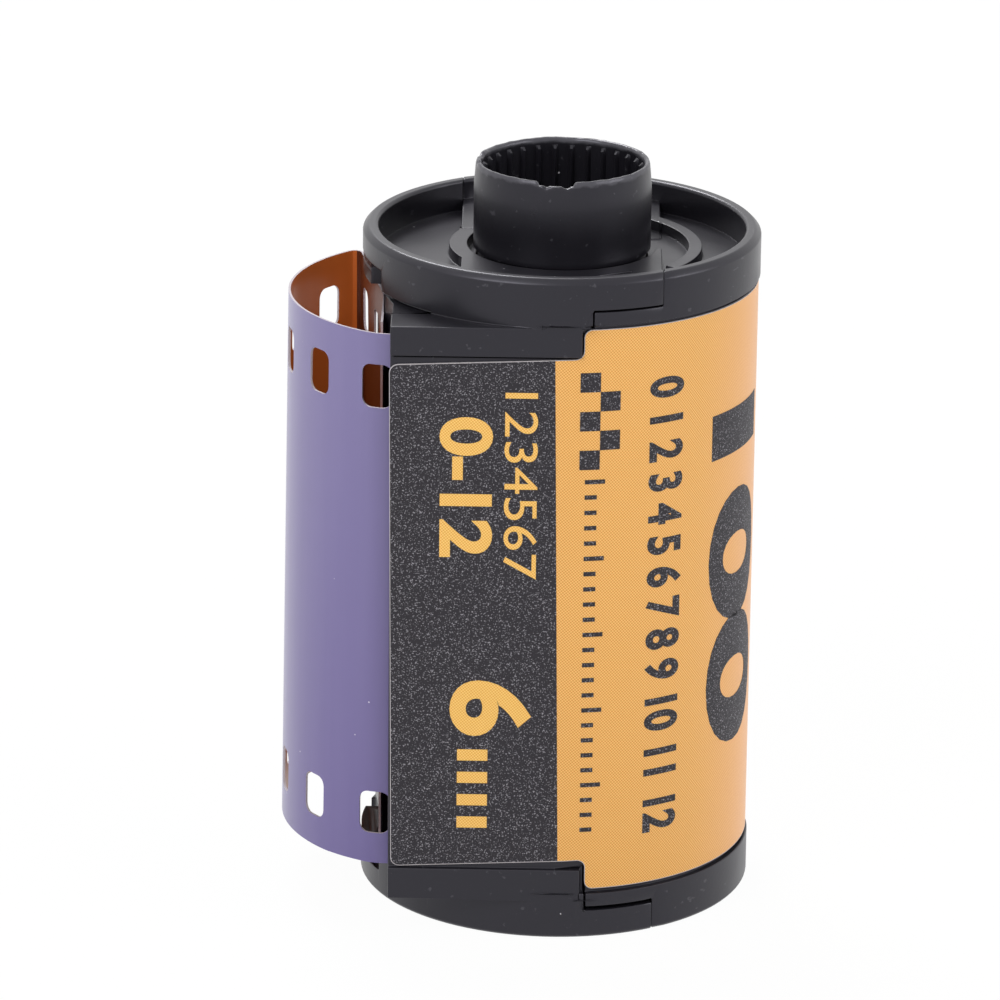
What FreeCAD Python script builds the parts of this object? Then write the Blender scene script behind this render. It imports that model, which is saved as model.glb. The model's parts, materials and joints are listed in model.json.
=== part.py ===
import FreeCAD, Part
import math
import os
import Sketcher

# A 35 mm film cassette: two moulded half shells closed by a wrap-round label, a spool with film,
# and a short leader that curls from the light trap back to the shell's side.
# +Z runs up the spool's axis, z = 0 is the plane that the cassette stands on, and the lip points to -X
# with its flat front face towards -Y. Lengths are millimetres and angles are degrees.

SIZES = {
    # both ends of the can
    "can_height": 43.3,
    "rim_radius": 12.5,
    "rim_width": 1.0,
    "rim_slope": 0.35,
    "rim_inner_slope": 0.15,
    "rim_foot_slope": 0.2,
    "end_recess": 2.0,
    "end_wall": 1.2,
    "band_height": 3.0,
    # wall and chamber
    "wall_radius": 12.15,
    "chamber_radius": 11.1,
    "flat_outer": 10.95,
    "flat_inner": 9.95,
    "flat_reach": 11.06,
    "flat_half": 5.0,
    "relief_end": 1.65,
    "relief_left": 14.0,
    "relief_front": 9.0,
    "relief_flat_back": 0.3,
    "relief_wall_left": 11.75,
    "relief_back": 3.6,
    # lip with the light trap
    "lip_reach": 10.4,
    "lip_right": 1.65,
    "lip_front": 12.45,
    "lip_end_gap": 2.85,
    "lip_back": 9.6,
    "rear_jaw_right": 6.0,
    "rear_jaw_inner": 9.5,
    "rear_jaw_corner": 7.3,
    "rear_jaw_back": 5.3,
    "recess_left": 11.5,
    "recess_front": 13.0,
    "recess_margin": 0.5,
    "recess_chord_front": 11.955,
    "block_height": 1.95,
    "slot_left": 11.5,
    "slot_right": 1.5,
    "slot_front": 10.95,
    "slot_rear": 8.75,
    "slot_end_gap": 3.85,
    "felt_left": 9.9,
    "front_felt_right": 4.5,
    "rear_felt_right": 7.1,
    # raised bridge and ribs on both ends
    "rib_height": 0.7,
    "bridge_half": 6.25,
    "bridge_front": 0.9,
    "bridge_back": 3.4,
    "bridge_straight": 10.0,
    "bridge_end_outer": 11.9,
    "bridge_end_inner": 8.9,
    "bridge_end_angle": 30.0,
    "post_clearance_radius": 5.95,
    "bump_radius": 7.1,
    "bump_angle": 60.0,
    "arc_rib_outer": 8.8,
    "arc_rib_inner": 7.95,
    "arc_rib_start": -36.0,
    "arc_rib_end": 52.0,
    "mould_slit_length": 2.3,
    "mould_slit_width": 0.22,
    "mould_slit_depth": 0.25,
    "mould_slit_x": 2.4,
    "mould_slit_y": -7.2,
    "mould_slit_turn": 28.0,
    # joint between the half shells, and the space that the cutting forms take
    "parting_turn": 9.0,
    "parting_gap": 0.1,
    "tongue_gap": 0.15,
    "front_tongue_left": 1.0,
    "front_tongue_back": 0.5,
    "back_tongue_front": 3.0,
    "back_tongue_right": 4.0,
    "tongue_reach": 14.0,
    "space": 60.0,
    "space_margin": 5.0,
    "cut_margin": 0.1,
    # spool
    "core_radius": 5.6,
    "hub_hole_radius": 5.67,
    "neck_radius": 5.3,
    "neck_hole_radius": 5.38,
    "post_radius": 5.47,
    "post_foot": 41.9,
    "post_top": 47.4,
    "post_mouth_radius": 5.33,
    "post_taper": 1.5,
    "post_bore_radius": 5.0,
    "post_bore_depth": 12.0,
    "spline_height": 0.27,
    "spline_width": 0.25,
    "spline_count": 30,
    "spline_lead": 0.35,
    "flange_radius": 9.5,
    "flange_thickness": 0.7,
    "flange_gap": 0.15,
    "hub_bottom": 0.4,
    "fork_bore_radius": 4.9,
    "fork_bore_depth": 3.0,
    "fork_seat_radius": 4.4,
    "fork_seat_depth": 9.0,
    "fork_bar_width": 2.0,
    "fork_bar_height": 4.0,
    # worn places at the post's mouth
    "chip_outer": 6.0,
    "chip_inner": 4.0,
    "chip_over": 1.0,
    "front_chip_left": 1.6,
    "front_chip_right": 0.75,
    "front_chip_depth": 0.3,
    "left_chip_front": 0.2,
    "left_chip_back": 1.3,
    "left_chip_depth": 0.25,
    # film
    "film_width": 34.975,
    "film_thickness": 0.14,
    "film_bottom": 4.1,
    "roll_radius": 7.8,
    "perforation_length": 1.981,
    "perforation_height": 2.794,
    "perforation_pitch": 4.75,
    "perforation_edge": 2.01,
    "perforation_round": 0.5,
    "perforation_cut": 1.0,
    "tape_thickness": 0.06,
    "tape_width": 24.0,
    "tape_angle": 50.0,
    # leader's path seen from above
    "roll_side_x": 2.79,
    "roll_side_y": -7.66,
    "trap_corner": 3.25,
    "trap_bend": 8.0,
    "trap_line": 9.86,
    "loop_centre": 5.95,
    "loop_radius": 11.15,
    "mouth_bend": 3.0,
    "fold_left": 13.15,
    "fold_back": 9.9,
    "fold_bend": 0.5,
    "tail_left": 11.74,
    "tail_back": 2.1,
    "tail_gap": 0.12,
    "tail_bend": 9.0,
    "tail_end": 7.35,
    "perforation_start": 5.38,
    # label
    "label_thickness": 0.13,
    "label_bottom": 3.25,
    "label_top": 40.05,
    "label_flat_bottom_left": 4.85,
    "label_flat_bottom_right": 5.25,
    "label_flat_top_left": 37.8,
    "label_flat_top_right": 38.4,
    "label_left": 10.35,
    "label_step": 1.95,
    "label_start_angle": -90.0,
    "label_end_angle": 158.0,
    "label_corner": 0.9,
    "label_step_corner": 0.5,
    "label_trim_margin": 1.0,
    "label_trim_depth": 20.0,
}

# How near a place found in a shape has to be, and the longest edge through the label's paper
NEAR = 0.01
PAPER_EDGE = 0.2


class Size:
    """A number together with the sheet expression that it comes from."""

    def __init__(self, number, text):
        self.number = float(number)
        self.text = text

    def __add__(self, other):
        other = as_size(other)
        return Size(self.number + other.number, f"({self.text} + {other.text})")

    def __sub__(self, other):
        other = as_size(other)
        return Size(self.number - other.number, f"({self.text} - {other.text})")

    def __mul__(self, other):
        other = as_size(other)
        return Size(self.number * other.number, f"({self.text} * {other.text})")

    def __neg__(self):
        return Size(-self.number, f"(-1 * {self.text})")


def as_size(value):
    return value if isinstance(value, Size) else Size(value, repr(float(value)))


def make_sheet(doc):
    sheet = doc.addObject("Spreadsheet::Sheet", "dims")
    for row, (alias, value) in enumerate(SIZES.items(), 1):
        sheet.set(f"A{row}", alias)
        sheet.set(f"B{row}", str(value))
        sheet.setAlias(f"B{row}", alias)
    doc.recompute()
    return {alias: Size(value, f"dims.{alias}") for alias, value in SIZES.items()}


def bind(feature, **sizes):
    for name, size in sizes.items():
        feature.setExpression(name, as_size(size).text)


# Sketches: every corner is held at its place by two dimensions bound to the sheet

def origin_feature(body, role):
    return next(part for part in body.Origin.OriginFeatures if part.Role == role)


def new_sketch(body, name, role="XY_Plane", height=None):
    sketch = body.newObject("Sketcher::SketchObject", name)
    sketch.AttachmentSupport = (origin_feature(body, role), "")
    sketch.MapMode = "FlatFace"
    if height is not None:
        sketch.setExpression("AttachmentOffset.Base.z", as_size(height).text)
    return sketch


def hold_point(sketch, edge, end, corner):
    for kind, value in zip(("DistanceX", "DistanceY"), corner):
        number = sketch.addConstraint(Sketcher.Constraint(kind, edge, end, value.number))
        sketch.setExpression(f"Constraints[{number}]", value.text)


def polygon(sketch, corners):
    corners = [(as_size(x), as_size(y)) for x, y in corners]
    vectors = [FreeCAD.Vector(x.number, y.number, 0) for x, y in corners]
    first = sketch.GeometryCount
    count = len(vectors)
    for index in range(count):
        sketch.addGeometry(Part.LineSegment(vectors[index], vectors[(index + 1) % count]), False)
    for index in range(count):
        following = first + (index + 1) % count
        sketch.addConstraint(Sketcher.Constraint("Coincident", first + index, 2, following, 1))
    for index, corner in enumerate(corners):
        hold_point(sketch, first + index, 1, corner)


def rectangle(sketch, x_low, x_high, y_low, y_high):
    polygon(sketch, [(x_low, y_low), (x_high, y_low), (x_high, y_high), (x_low, y_high)])


def circle(sketch, radius):
    radius = as_size(radius)
    shape = Part.Circle(FreeCAD.Vector(), FreeCAD.Vector(0, 0, 1), radius.number)
    number = sketch.addGeometry(shape, False)
    sketch.addConstraint(Sketcher.Constraint("Coincident", number, 3, -1, 1))
    held = sketch.addConstraint(Sketcher.Constraint("Radius", number, radius.number))
    sketch.setExpression(f"Constraints[{held}]", radius.text)


def centred_arc(sketch, radius, start, end):
    # An arc about the spool's axis, from the start angle to the end angle
    shape = Part.Circle(FreeCAD.Vector(), FreeCAD.Vector(0, 0, 1), radius.number)
    arc = Part.ArcOfCircle(shape, math.radians(start), math.radians(end))
    number = sketch.addGeometry(arc, False)
    sketch.addConstraint(Sketcher.Constraint("Coincident", number, 3, -1, 1))
    held = sketch.addConstraint(Sketcher.Constraint("Radius", number, radius.number))
    sketch.setExpression(f"Constraints[{held}]", radius.text)
    return number


def join_line(sketch, edge_a, end_a, edge_b, end_b):
    # A straight edge from one sketch point to another
    start = sketch.getPoint(edge_a, end_a)
    end = sketch.getPoint(edge_b, end_b)
    number = sketch.addGeometry(Part.LineSegment(start, end), False)
    sketch.addConstraint(Sketcher.Constraint("Coincident", number, 1, edge_a, end_a))
    sketch.addConstraint(Sketcher.Constraint("Coincident", number, 2, edge_b, end_b))
    return number


def hold_angle(sketch, edge, end, angle, radius):
    # The arc's radius holds the point's other dimension
    x = radius.number * math.cos(math.radians(angle.number))
    number = sketch.addConstraint(Sketcher.Constraint("DistanceX", edge, end, x))
    sketch.setExpression(f"Constraints[{number}]", f"{radius.text} * cos({angle.text})")


def ring_sector(sketch, outer_radius, inner_radius, start, end):
    # The area between two arcs about the spool's axis, closed by straight ends
    outer = centred_arc(sketch, outer_radius, start.number, end.number)
    inner = centred_arc(sketch, inner_radius, start.number, end.number)
    join_line(sketch, outer, 1, inner, 1)
    join_line(sketch, outer, 2, inner, 2)
    for edge, radius in ((outer, outer_radius), (inner, inner_radius)):
        hold_angle(sketch, edge, 1, start, radius)
        hold_angle(sketch, edge, 2, end, radius)


# Solid features

def pad(body, sketch, length, reverse=False):
    feature = body.newObject("PartDesign::Pad", sketch.Name + "_pad")
    feature.Profile = sketch
    feature.Reversed = reverse
    bind(feature, Length=length)
    sketch.Document.recompute()
    return feature


def pocket(body, sketch, length, reverse=False):
    # A pocket cuts against the sketch's normal unless it is reversed
    before = body.Shape.Volume
    feature = body.newObject("PartDesign::Pocket", sketch.Name + "_pocket")
    feature.Profile = sketch
    feature.Reversed = reverse
    bind(feature, Length=length)
    sketch.Document.recompute()
    if body.Shape.Volume >= before:
        raise RuntimeError(f"{sketch.Name} cuts nothing")
    return feature


def revolve(body, sketch):
    feature = body.newObject("PartDesign::Revolution", sketch.Name + "_revolution")
    feature.Profile = sketch
    feature.ReferenceAxis = (sketch, ["V_Axis"])
    feature.Angle = 360.0
    sketch.Document.recompute()
    return feature


def round_edges(body, radius, chosen):
    base = body.Tip
    names = [f"Edge{number}" for number, edge in enumerate(base.Shape.Edges, 1) if chosen(edge)]
    if not names:
        raise RuntimeError("no edge to round")
    feature = body.newObject("PartDesign::Fillet", "rounding")
    feature.Base = (base, names)
    bind(feature, Radius=radius)
    body.Document.recompute()
    return feature


def block(doc, name, low, high):
    # A box between two corners, each a triple of sizes
    box = doc.addObject("Part::Box", name)
    low = [as_size(value) for value in low]
    high = [as_size(value) for value in high]
    bind(box, Length=high[0] - low[0], Width=high[1] - low[1], Height=high[2] - low[2])
    for axis, value in zip("xyz", low):
        box.setExpression(f"Placement.Base.{axis}", value.text)
    return box


def cylinder(doc, name, radius, bottom, height):
    solid = doc.addObject("Part::Cylinder", name)
    bind(solid, Radius=radius, Height=height)
    solid.setExpression("Placement.Base.z", as_size(bottom).text)
    return solid


def boolean(doc, kind, name, base, tool):
    feature = doc.addObject(f"Part::{kind}", name)
    feature.Base = base
    feature.Tool = tool
    return feature


def join_all(doc, name, shapes):
    feature = doc.addObject("Part::MultiFuse", name)
    feature.Shapes = shapes
    return feature


# The closed can: both half shells as one form, before it is parted

def can_wall(body, d):
    sketch = new_sketch(body, "wall_section", "XZ_Plane")
    top = d["can_height"]
    rim_inner = d["rim_radius"] - d["rim_width"]
    floor_low = d["end_recess"]
    floor_high = top - d["end_recess"]
    polygon(sketch, [
        (rim_inner, 0), (d["rim_radius"] - d["rim_foot_slope"], 0), (d["rim_radius"], d["rim_foot_slope"]),
        (d["rim_radius"], d["band_height"]), (d["wall_radius"], d["band_height"]),
        (d["wall_radius"], top - d["band_height"]), (d["rim_radius"], top - d["band_height"]),
        (d["rim_radius"], top - d["rim_slope"]), (d["rim_radius"] - d["rim_slope"], top),
        (rim_inner + d["rim_inner_slope"], top), (rim_inner, top - d["rim_inner_slope"]),
        (rim_inner, floor_high), (d["neck_hole_radius"], floor_high),
        (d["neck_hole_radius"], floor_high - d["end_wall"]),
        (d["chamber_radius"], floor_high - d["end_wall"]),
        (d["chamber_radius"], floor_low + d["end_wall"]), (d["hub_hole_radius"], floor_low + d["end_wall"]),
        (d["hub_hole_radius"], floor_low), (rim_inner, floor_low)])
    revolve(body, sketch)


def can_lip(body, d):
    top = d["can_height"]
    front = new_sketch(body, "front_jaw", height=d["lip_end_gap"])
    rectangle(front, -d["lip_reach"], d["lip_right"], -d["lip_front"], -d["lip_back"])
    pad(body, front, top - d["lip_end_gap"] * 2)
    chamber_low = d["end_recess"] + d["end_wall"]
    rear = new_sketch(body, "rear_jaw", height=chamber_low)
    polygon(rear, [(-d["lip_reach"], -d["lip_back"]), (-d["rear_jaw_right"], -d["lip_back"]),
                   (-d["rear_jaw_inner"], -d["rear_jaw_back"]), (-d["flat_outer"], -d["rear_jaw_back"]),
                   (-d["lip_reach"], -d["rear_jaw_corner"])])
    pad(body, rear, top - chamber_low * 2)


def can_inside(body, d):
    top = d["can_height"]
    chamber_low = d["end_recess"] + d["end_wall"]
    chamber = new_sketch(body, "chamber", height=chamber_low)
    circle(chamber, d["chamber_radius"])
    pocket(body, chamber, top - chamber_low * 2, reverse=True)
    flat = new_sketch(body, "inner_flat", height=chamber_low)
    rectangle(flat, -d["flat_reach"], -d["flat_inner"], -d["flat_half"], d["flat_half"])
    pad(body, flat, top - chamber_low * 2)
    relief = new_sketch(body, "outer_relief", height=d["relief_end"])
    polygon(relief, [(-d["relief_left"], -d["relief_front"]), (-d["flat_outer"], -d["rear_jaw_back"]),
                     (-d["flat_outer"], d["relief_flat_back"]), (-d["relief_wall_left"], d["relief_back"]),
                     (-d["relief_left"], d["relief_back"])])
    pocket(body, relief, top - d["relief_end"] * 2, reverse=True)
    slot = new_sketch(body, "light_trap", height=d["slot_end_gap"])
    rectangle(slot, -d["slot_left"], -d["slot_right"], -d["slot_front"], -d["slot_rear"])
    pocket(body, slot, top - d["slot_end_gap"] * 2, reverse=True)
    step = d["lip_end_gap"] + d["block_height"]
    recess = new_sketch(body, "label_recess", height=step)
    chord = d["lip_right"] + d["recess_margin"]
    polygon(recess, [(-d["recess_left"], -d["recess_front"]), (chord, -d["recess_front"]),
                     (chord, -d["recess_chord_front"]), (0, -d["wall_radius"]),
                     (-d["recess_left"], -d["wall_radius"])])
    pocket(body, recess, top - step * 2, reverse=True)


def can_end(body, d, name, face, outwards):
    # The raised bridge, the bump left of the post and the curved rib right of it, on one end's floor
    down = not outwards
    height = d["rib_height"]
    front = new_sketch(body, name + "_bridge_front", height=face)
    rectangle(front, -d["bridge_half"], d["bridge_half"], -d["bridge_straight"], -d["bridge_front"])
    pad(body, front, height, down)
    back = new_sketch(body, name + "_bridge_back", height=face)
    rectangle(back, -d["bridge_half"], d["bridge_half"], d["bridge_back"], d["bridge_straight"])
    pad(body, back, height, down)
    ends = new_sketch(body, name + "_bridge_ends", height=face)
    for middle in (as_size(270), as_size(90)):
        low, high = middle - d["bridge_end_angle"], middle + d["bridge_end_angle"]
        ring_sector(ends, d["bridge_end_outer"], d["bridge_end_inner"], low, high)
    pad(body, ends, height, down)
    bump = new_sketch(body, name + "_bump", height=face)
    low, high = as_size(180) - d["bump_angle"], as_size(180) + d["bump_angle"]
    arc = centred_arc(bump, d["bump_radius"], low.number, high.number)
    join_line(bump, arc, 2, arc, 1)
    hold_angle(bump, arc, 1, low, d["bump_radius"])
    hold_angle(bump, arc, 2, high, d["bump_radius"])
    pad(body, bump, height, down)
    rib = new_sketch(body, name + "_arc_rib", height=face)
    ring_sector(rib, d["arc_rib_outer"], d["arc_rib_inner"], d["arc_rib_start"], d["arc_rib_end"])
    pad(body, rib, height, down)
    clearance = new_sketch(body, name + "_post_clearance", height=face)
    circle(clearance, d["post_clearance_radius"])
    pocket(body, clearance, height + d["cut_margin"], outwards)


def make_can(doc, d):
    body = doc.addObject("PartDesign::Body", "closed_can")
    can_wall(body, d)
    can_lip(body, d)
    can_inside(body, d)
    can_end(body, d, "top", d["can_height"] - d["end_recess"], True)
    can_end(body, d, "bottom", d["end_recess"], False)
    return body


# The parting between the half shells: a plane through the axis, with a lap tongue at each end

def half_space(doc, name, shift, d):
    # Everything on the lip's side of the turned plane
    box = doc.addObject("Part::Box", name)
    bind(box, Length=d["space"], Width=d["space"], Height=d["space"])
    turn = FreeCAD.Rotation(FreeCAD.Vector(0, 0, 1), d["parting_turn"].number)
    side = d["space"].number
    corner = FreeCAD.Vector(shift - side, -side / 2, -d["space_margin"].number)
    box.Placement = FreeCAD.Placement(turn.multVec(corner), turn)
    return box


def lip_side(doc, name, gap, shift, d):
    # All space that belongs to the lip shell, grown by a gap where the round shell is cut with it
    top = d["can_height"]
    half = half_space(doc, name + "_half", shift, d)
    levels = {"top": (top - d["end_recess"], top + d["space_margin"]),
              "bottom": (-d["space_margin"], d["end_recess"])}
    front, back = [], []
    for level, (low, high) in levels.items():
        front.append(block(doc, f"{name}_{level}_front", (-d["front_tongue_left"], -d["tongue_reach"], low),
                           (d["bridge_half"] + gap, -d["front_tongue_back"], high)))
        back_left = -d["bridge_half"] - d["tongue_gap"] + gap
        back.append(block(doc, f"{name}_{level}_back", (back_left, d["back_tongue_front"], low),
                          (d["back_tongue_right"], d["tongue_reach"], high)))
    grown = join_all(doc, name + "_grown", [half] + front)
    return boolean(doc, "Cut", name, grown, join_all(doc, name + "_back", back))


def seam_ring(doc, name, d):
    # Thin gap under the lap tongues' outer rims, so that each lap shows its seam
    top = d["can_height"]
    outside = cylinder(doc, name + "_outside", d["rim_radius"] + d["cut_margin"], 0, top)
    inside = cylinder(doc, name + "_inside", d["rim_radius"] - d["rim_width"], 0, top)
    ring = boolean(doc, "Cut", name + "_ring", outside, inside)
    bands = []
    for level, low in (("top", top - d["end_recess"] - d["parting_gap"]), ("bottom", d["end_recess"])):
        bands.append(block(doc, f"{name}_{level}", (-d["front_tongue_left"], -d["tongue_reach"], low),
                           (d["bridge_half"] + d["tongue_gap"], 0, low + d["parting_gap"])))
    return boolean(doc, "Common", name, join_all(doc, name + "_bands", bands), ring)


def mould_slit(doc, d):
    floor = d["can_height"] - d["end_recess"] + d["rib_height"] - d["mould_slit_depth"]
    slit = doc.addObject("Part::Box", "mould_slit")
    bind(slit, Length=d["mould_slit_length"], Width=d["mould_slit_width"], Height=d["mould_slit_depth"] * 2)
    turn = FreeCAD.Rotation(FreeCAD.Vector(0, 0, 1), d["mould_slit_turn"].number)
    corner = FreeCAD.Vector(d["mould_slit_x"].number, d["mould_slit_y"].number, floor.number)
    slit.Placement = FreeCAD.Placement(corner, turn)
    return slit


def make_shells(doc, d):
    can = make_can(doc, d)
    lip_space = lip_side(doc, "lip_space", as_size(0), 0.0, d)
    solid_lip = boolean(doc, "Common", "solid_lip_shell", can, lip_space)
    lip_shell = boolean(doc, "Cut", "lip_shell", solid_lip, mould_slit(doc, d))
    taken = lip_side(doc, "taken_space", d["tongue_gap"], d["parting_gap"].number, d)
    tools = join_all(doc, "round_shell_tools", [taken, seam_ring(doc, "seam", d)])
    round_shell = boolean(doc, "Cut", "round_shell", can, tools)
    return [lip_shell, round_shell]


# Spool with its splined post, flanges and fork socket

def spool_section(body, d):
    sketch = new_sketch(body, "spool_section", "XZ_Plane")
    chamber_low = d["end_recess"] + d["end_wall"]
    chamber_high = d["can_height"] - chamber_low
    low_flange = chamber_low + d["flange_gap"]
    high_flange = chamber_high - d["flange_gap"]
    fork_step = d["hub_bottom"] + d["fork_bore_depth"]
    fork_floor = d["hub_bottom"] + d["fork_seat_depth"]
    bore_floor = d["post_top"] - d["post_bore_depth"]
    polygon(sketch, [
        (0, fork_floor), (d["fork_seat_radius"], fork_floor), (d["fork_seat_radius"], fork_step),
        (d["fork_bore_radius"], fork_step), (d["fork_bore_radius"], d["hub_bottom"]),
        (d["core_radius"], d["hub_bottom"]), (d["core_radius"], low_flange), (d["flange_radius"], low_flange),
        (d["flange_radius"], low_flange + d["flange_thickness"]),
        (d["core_radius"], low_flange + d["flange_thickness"]),
        (d["core_radius"], high_flange - d["flange_thickness"]),
        (d["flange_radius"], high_flange - d["flange_thickness"]), (d["flange_radius"], high_flange),
        (d["neck_radius"], high_flange), (d["neck_radius"], d["post_foot"]),
        (d["post_radius"], d["post_foot"]),
        (d["post_radius"], d["post_top"] - d["post_taper"]), (d["post_mouth_radius"], d["post_top"]),
        (d["post_bore_radius"], d["post_top"]), (d["post_bore_radius"], bore_floor), (0, bore_floor)])
    revolve(body, sketch)


def spool_splines(body, d):
    # Thirty fine ribs stand inside the post's bore, starting just below its mouth
    sketch = new_sketch(body, "spline", height=d["post_top"] - d["post_bore_depth"])
    half = d["spline_width"] * 0.5
    rectangle(sketch, d["post_bore_radius"] - d["spline_height"], d["post_bore_radius"] + d["cut_margin"],
              -half, half)
    rib = pad(body, sketch, d["post_bore_depth"] - d["spline_lead"])
    ring = body.newObject("PartDesign::PolarPattern", "splines")
    ring.Originals = [rib]
    ring.Axis = (origin_feature(body, "Z_Axis"), [""])
    ring.Angle = 360.0
    bind(ring, Occurrences=d["spline_count"])
    body.Tip = ring
    body.Document.recompute()


def make_spool(doc, d):
    body = doc.addObject("PartDesign::Body", "turned_spool")
    spool_section(body, d)
    spool_splines(body, d)
    bar = new_sketch(body, "fork_bar", height=d["hub_bottom"] + d["fork_bore_depth"])
    half = d["fork_bar_width"] * 0.5
    rectangle(bar, -d["fork_bore_radius"], d["fork_bore_radius"], -half, half)
    pad(body, bar, d["fork_bar_height"])
    top = d["post_top"]
    above = top + d["chip_over"]
    worn = [block(doc, "front_chip", (-d["front_chip_left"], -d["chip_outer"], top - d["front_chip_depth"]),
                  (d["front_chip_right"], -d["chip_inner"], above)),
            block(doc, "left_chip", (-d["chip_outer"], d["left_chip_front"], top - d["left_chip_depth"]),
                  (-d["chip_inner"], d["left_chip_back"], above))]
    return boolean(doc, "Cut", "spool", body, join_all(doc, "post_wear", worn))


# Film on the spool, its tape, and the leader

def make_roll(doc, d):
    solid = cylinder(doc, "roll_outside", d["roll_radius"], d["film_bottom"], d["film_width"])
    core = cylinder(doc, "roll_inside", d["core_radius"], d["film_bottom"] - d["cut_margin"],
                    d["film_width"] + d["cut_margin"] * 2)
    ring = boolean(doc, "Cut", "film_ring", solid, core)
    middle = d["film_bottom"] + d["film_width"] * 0.5
    tapes = []
    for name in ("film_tape_outer", "tape_space"):
        outer = cylinder(doc, name, d["core_radius"] + d["tape_thickness"], middle - d["tape_width"] * 0.5,
                         d["tape_width"])
        bind(outer, Angle=d["tape_angle"])
        tapes.append(outer)
    inner = cylinder(doc, "tape_inside", d["core_radius"], 0, d["can_height"])
    tape = boolean(doc, "Cut", "film_tape", tapes[0], inner)
    return [boolean(doc, "Cut", "film_roll", ring, tapes[1]), tape]


def right_of(direction):
    return FreeCAD.Vector(direction.y, -direction.x, 0)


def rounded_run(corners):
    # Straight runs between corners, each inner corner rounded by an arc of its own radius
    edges = []
    start = corners[0][0]
    for (before, _), (corner, radius), (after, _) in zip(corners, corners[1:], corners[2:]):
        arriving = (corner - before).normalize()
        leaving = (after - corner).normalize()
        half_turn = arriving.getAngle(leaving) / 2
        reach = radius * math.tan(half_turn)
        first = corner - arriving * reach
        last = corner + leaving * reach
        inwards = (leaving - arriving).normalize()
        middle = corner + inwards * (radius / math.cos(half_turn) - radius)
        edges.append(Part.LineSegment(start, first).toShape())
        edges.append(Part.Arc(first, middle, last).toShape())
        start = last
    edges.append(Part.LineSegment(start, corners[-1][0]).toShape())
    return edges


def bend_into_loop(centre, loop_radius, point, direction, bend_radius, far):
    # The bend that is tangent to a straight run and, from inside, to the loop: both turn to the right
    offset = point + right_of(direction) * bend_radius - centre
    along = offset.dot(direction)
    reach = math.sqrt(along ** 2 - offset.dot(offset) + (loop_radius - bend_radius) ** 2)
    bend_centre = centre + offset + direction * (-along + (reach if far else -reach))
    on_run = bend_centre - right_of(direction) * bend_radius
    on_loop = centre + (bend_centre - centre).normalize() * loop_radius
    outwards = ((on_run - bend_centre).normalize() + (on_loop - bend_centre).normalize()).normalize()
    return on_run, bend_centre + outwards * bend_radius, on_loop


def leader_path(d):
    # From the roll's side through the trap, round the open loop and back along the shell's flat side
    point = FreeCAD.Vector
    trap = -d["trap_line"].number
    centre = point(-d["loop_centre"].number, 0, 0)
    radius = d["loop_radius"].number
    fold = point(-d["fold_left"].number, d["fold_back"].number, 0)
    tail_top = point(-d["tail_left"].number, d["tail_back"].number, 0)
    tail_way = (tail_top - fold).normalize()
    tail_line = -(d["flat_outer"] + d["tail_gap"]).number
    mouth = bend_into_loop(centre, radius, point(0, trap, 0), point(-1, 0, 0), d["mouth_bend"].number, True)
    crease = bend_into_loop(centre, radius, fold, tail_way, d["fold_bend"].number, False)
    roll_side = point(d["roll_side_x"].number, d["roll_side_y"].number, 0)
    trap_corner = point(-d["trap_corner"].number, trap, 0)
    inner = rounded_run([(roll_side, 0), (trap_corner, d["trap_bend"].number), (mouth[0], 0)])
    outwards = ((mouth[2] - centre).normalize() + (crease[2] - centre).normalize()).normalize()
    loop = [Part.Arc(*mouth).toShape(), Part.Arc(mouth[2], centre + outwards * radius, crease[2]).toShape(),
            Part.Arc(crease[2], crease[1], crease[0]).toShape()]
    tail_corner = fold + tail_way * ((tail_line - fold.x) / tail_way.x)
    tail_end = point(tail_line, -d["tail_end"].number, 0)
    tail = rounded_run([(crease[0], 0), (tail_corner, d["tail_bend"].number), (tail_end, 0)])
    return Part.Wire(inner + loop + tail)


def shifted_edge(edge, shift):
    # The edge moved sideways, to the right of its own direction
    first, last = edge.ParameterRange
    spots = []
    for parameter in (first, (first + last) / 2, last):
        spots.append(edge.valueAt(parameter) + right_of(edge.tangentAt(parameter)) * shift)
    if isinstance(edge.Curve, Part.Line):
        return Part.LineSegment(spots[0], spots[2]).toShape()
    return Part.Arc(*spots).toShape()


def leader_strip(path, d):
    half = d["film_thickness"].number / 2
    near = [shifted_edge(edge, half) for edge in path.OrderedEdges]
    far = [shifted_edge(edge, -half) for edge in path.OrderedEdges]
    ends = []
    for place in (0, -1):
        corners = [edges[place].valueAt(edges[place].ParameterRange[place]) for edges in (near, far)]
        ends.append(Part.LineSegment(*corners).toShape())
    outline = Part.Wire(Part.sortEdges(near + far + ends)[0])
    face = Part.Face(outline)
    face.translate(FreeCAD.Vector(0, 0, d["film_bottom"].number))
    return face.extrude(FreeCAD.Vector(0, 0, d["film_width"].number))


def perforation(d, spot, direction):
    # One round-cornered hole, as a bar that goes through the film across its direction
    long_side = d["perforation_length"].number
    high_side = d["perforation_height"].number
    depth = d["perforation_cut"].number
    bar = Part.makeBox(long_side, depth, high_side, FreeCAD.Vector(-long_side / 2, -depth / 2, 0))
    across = [edge for edge in bar.Edges if abs(edge.tangentAt(edge.FirstParameter).y) > 0.9]
    bar = bar.makeFillet(d["perforation_round"].number, across)
    angle = math.degrees(math.atan2(direction.y, direction.x))
    bar.Placement = FreeCAD.Placement(spot, FreeCAD.Rotation(FreeCAD.Vector(0, 0, 1), angle))
    return bar


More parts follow.
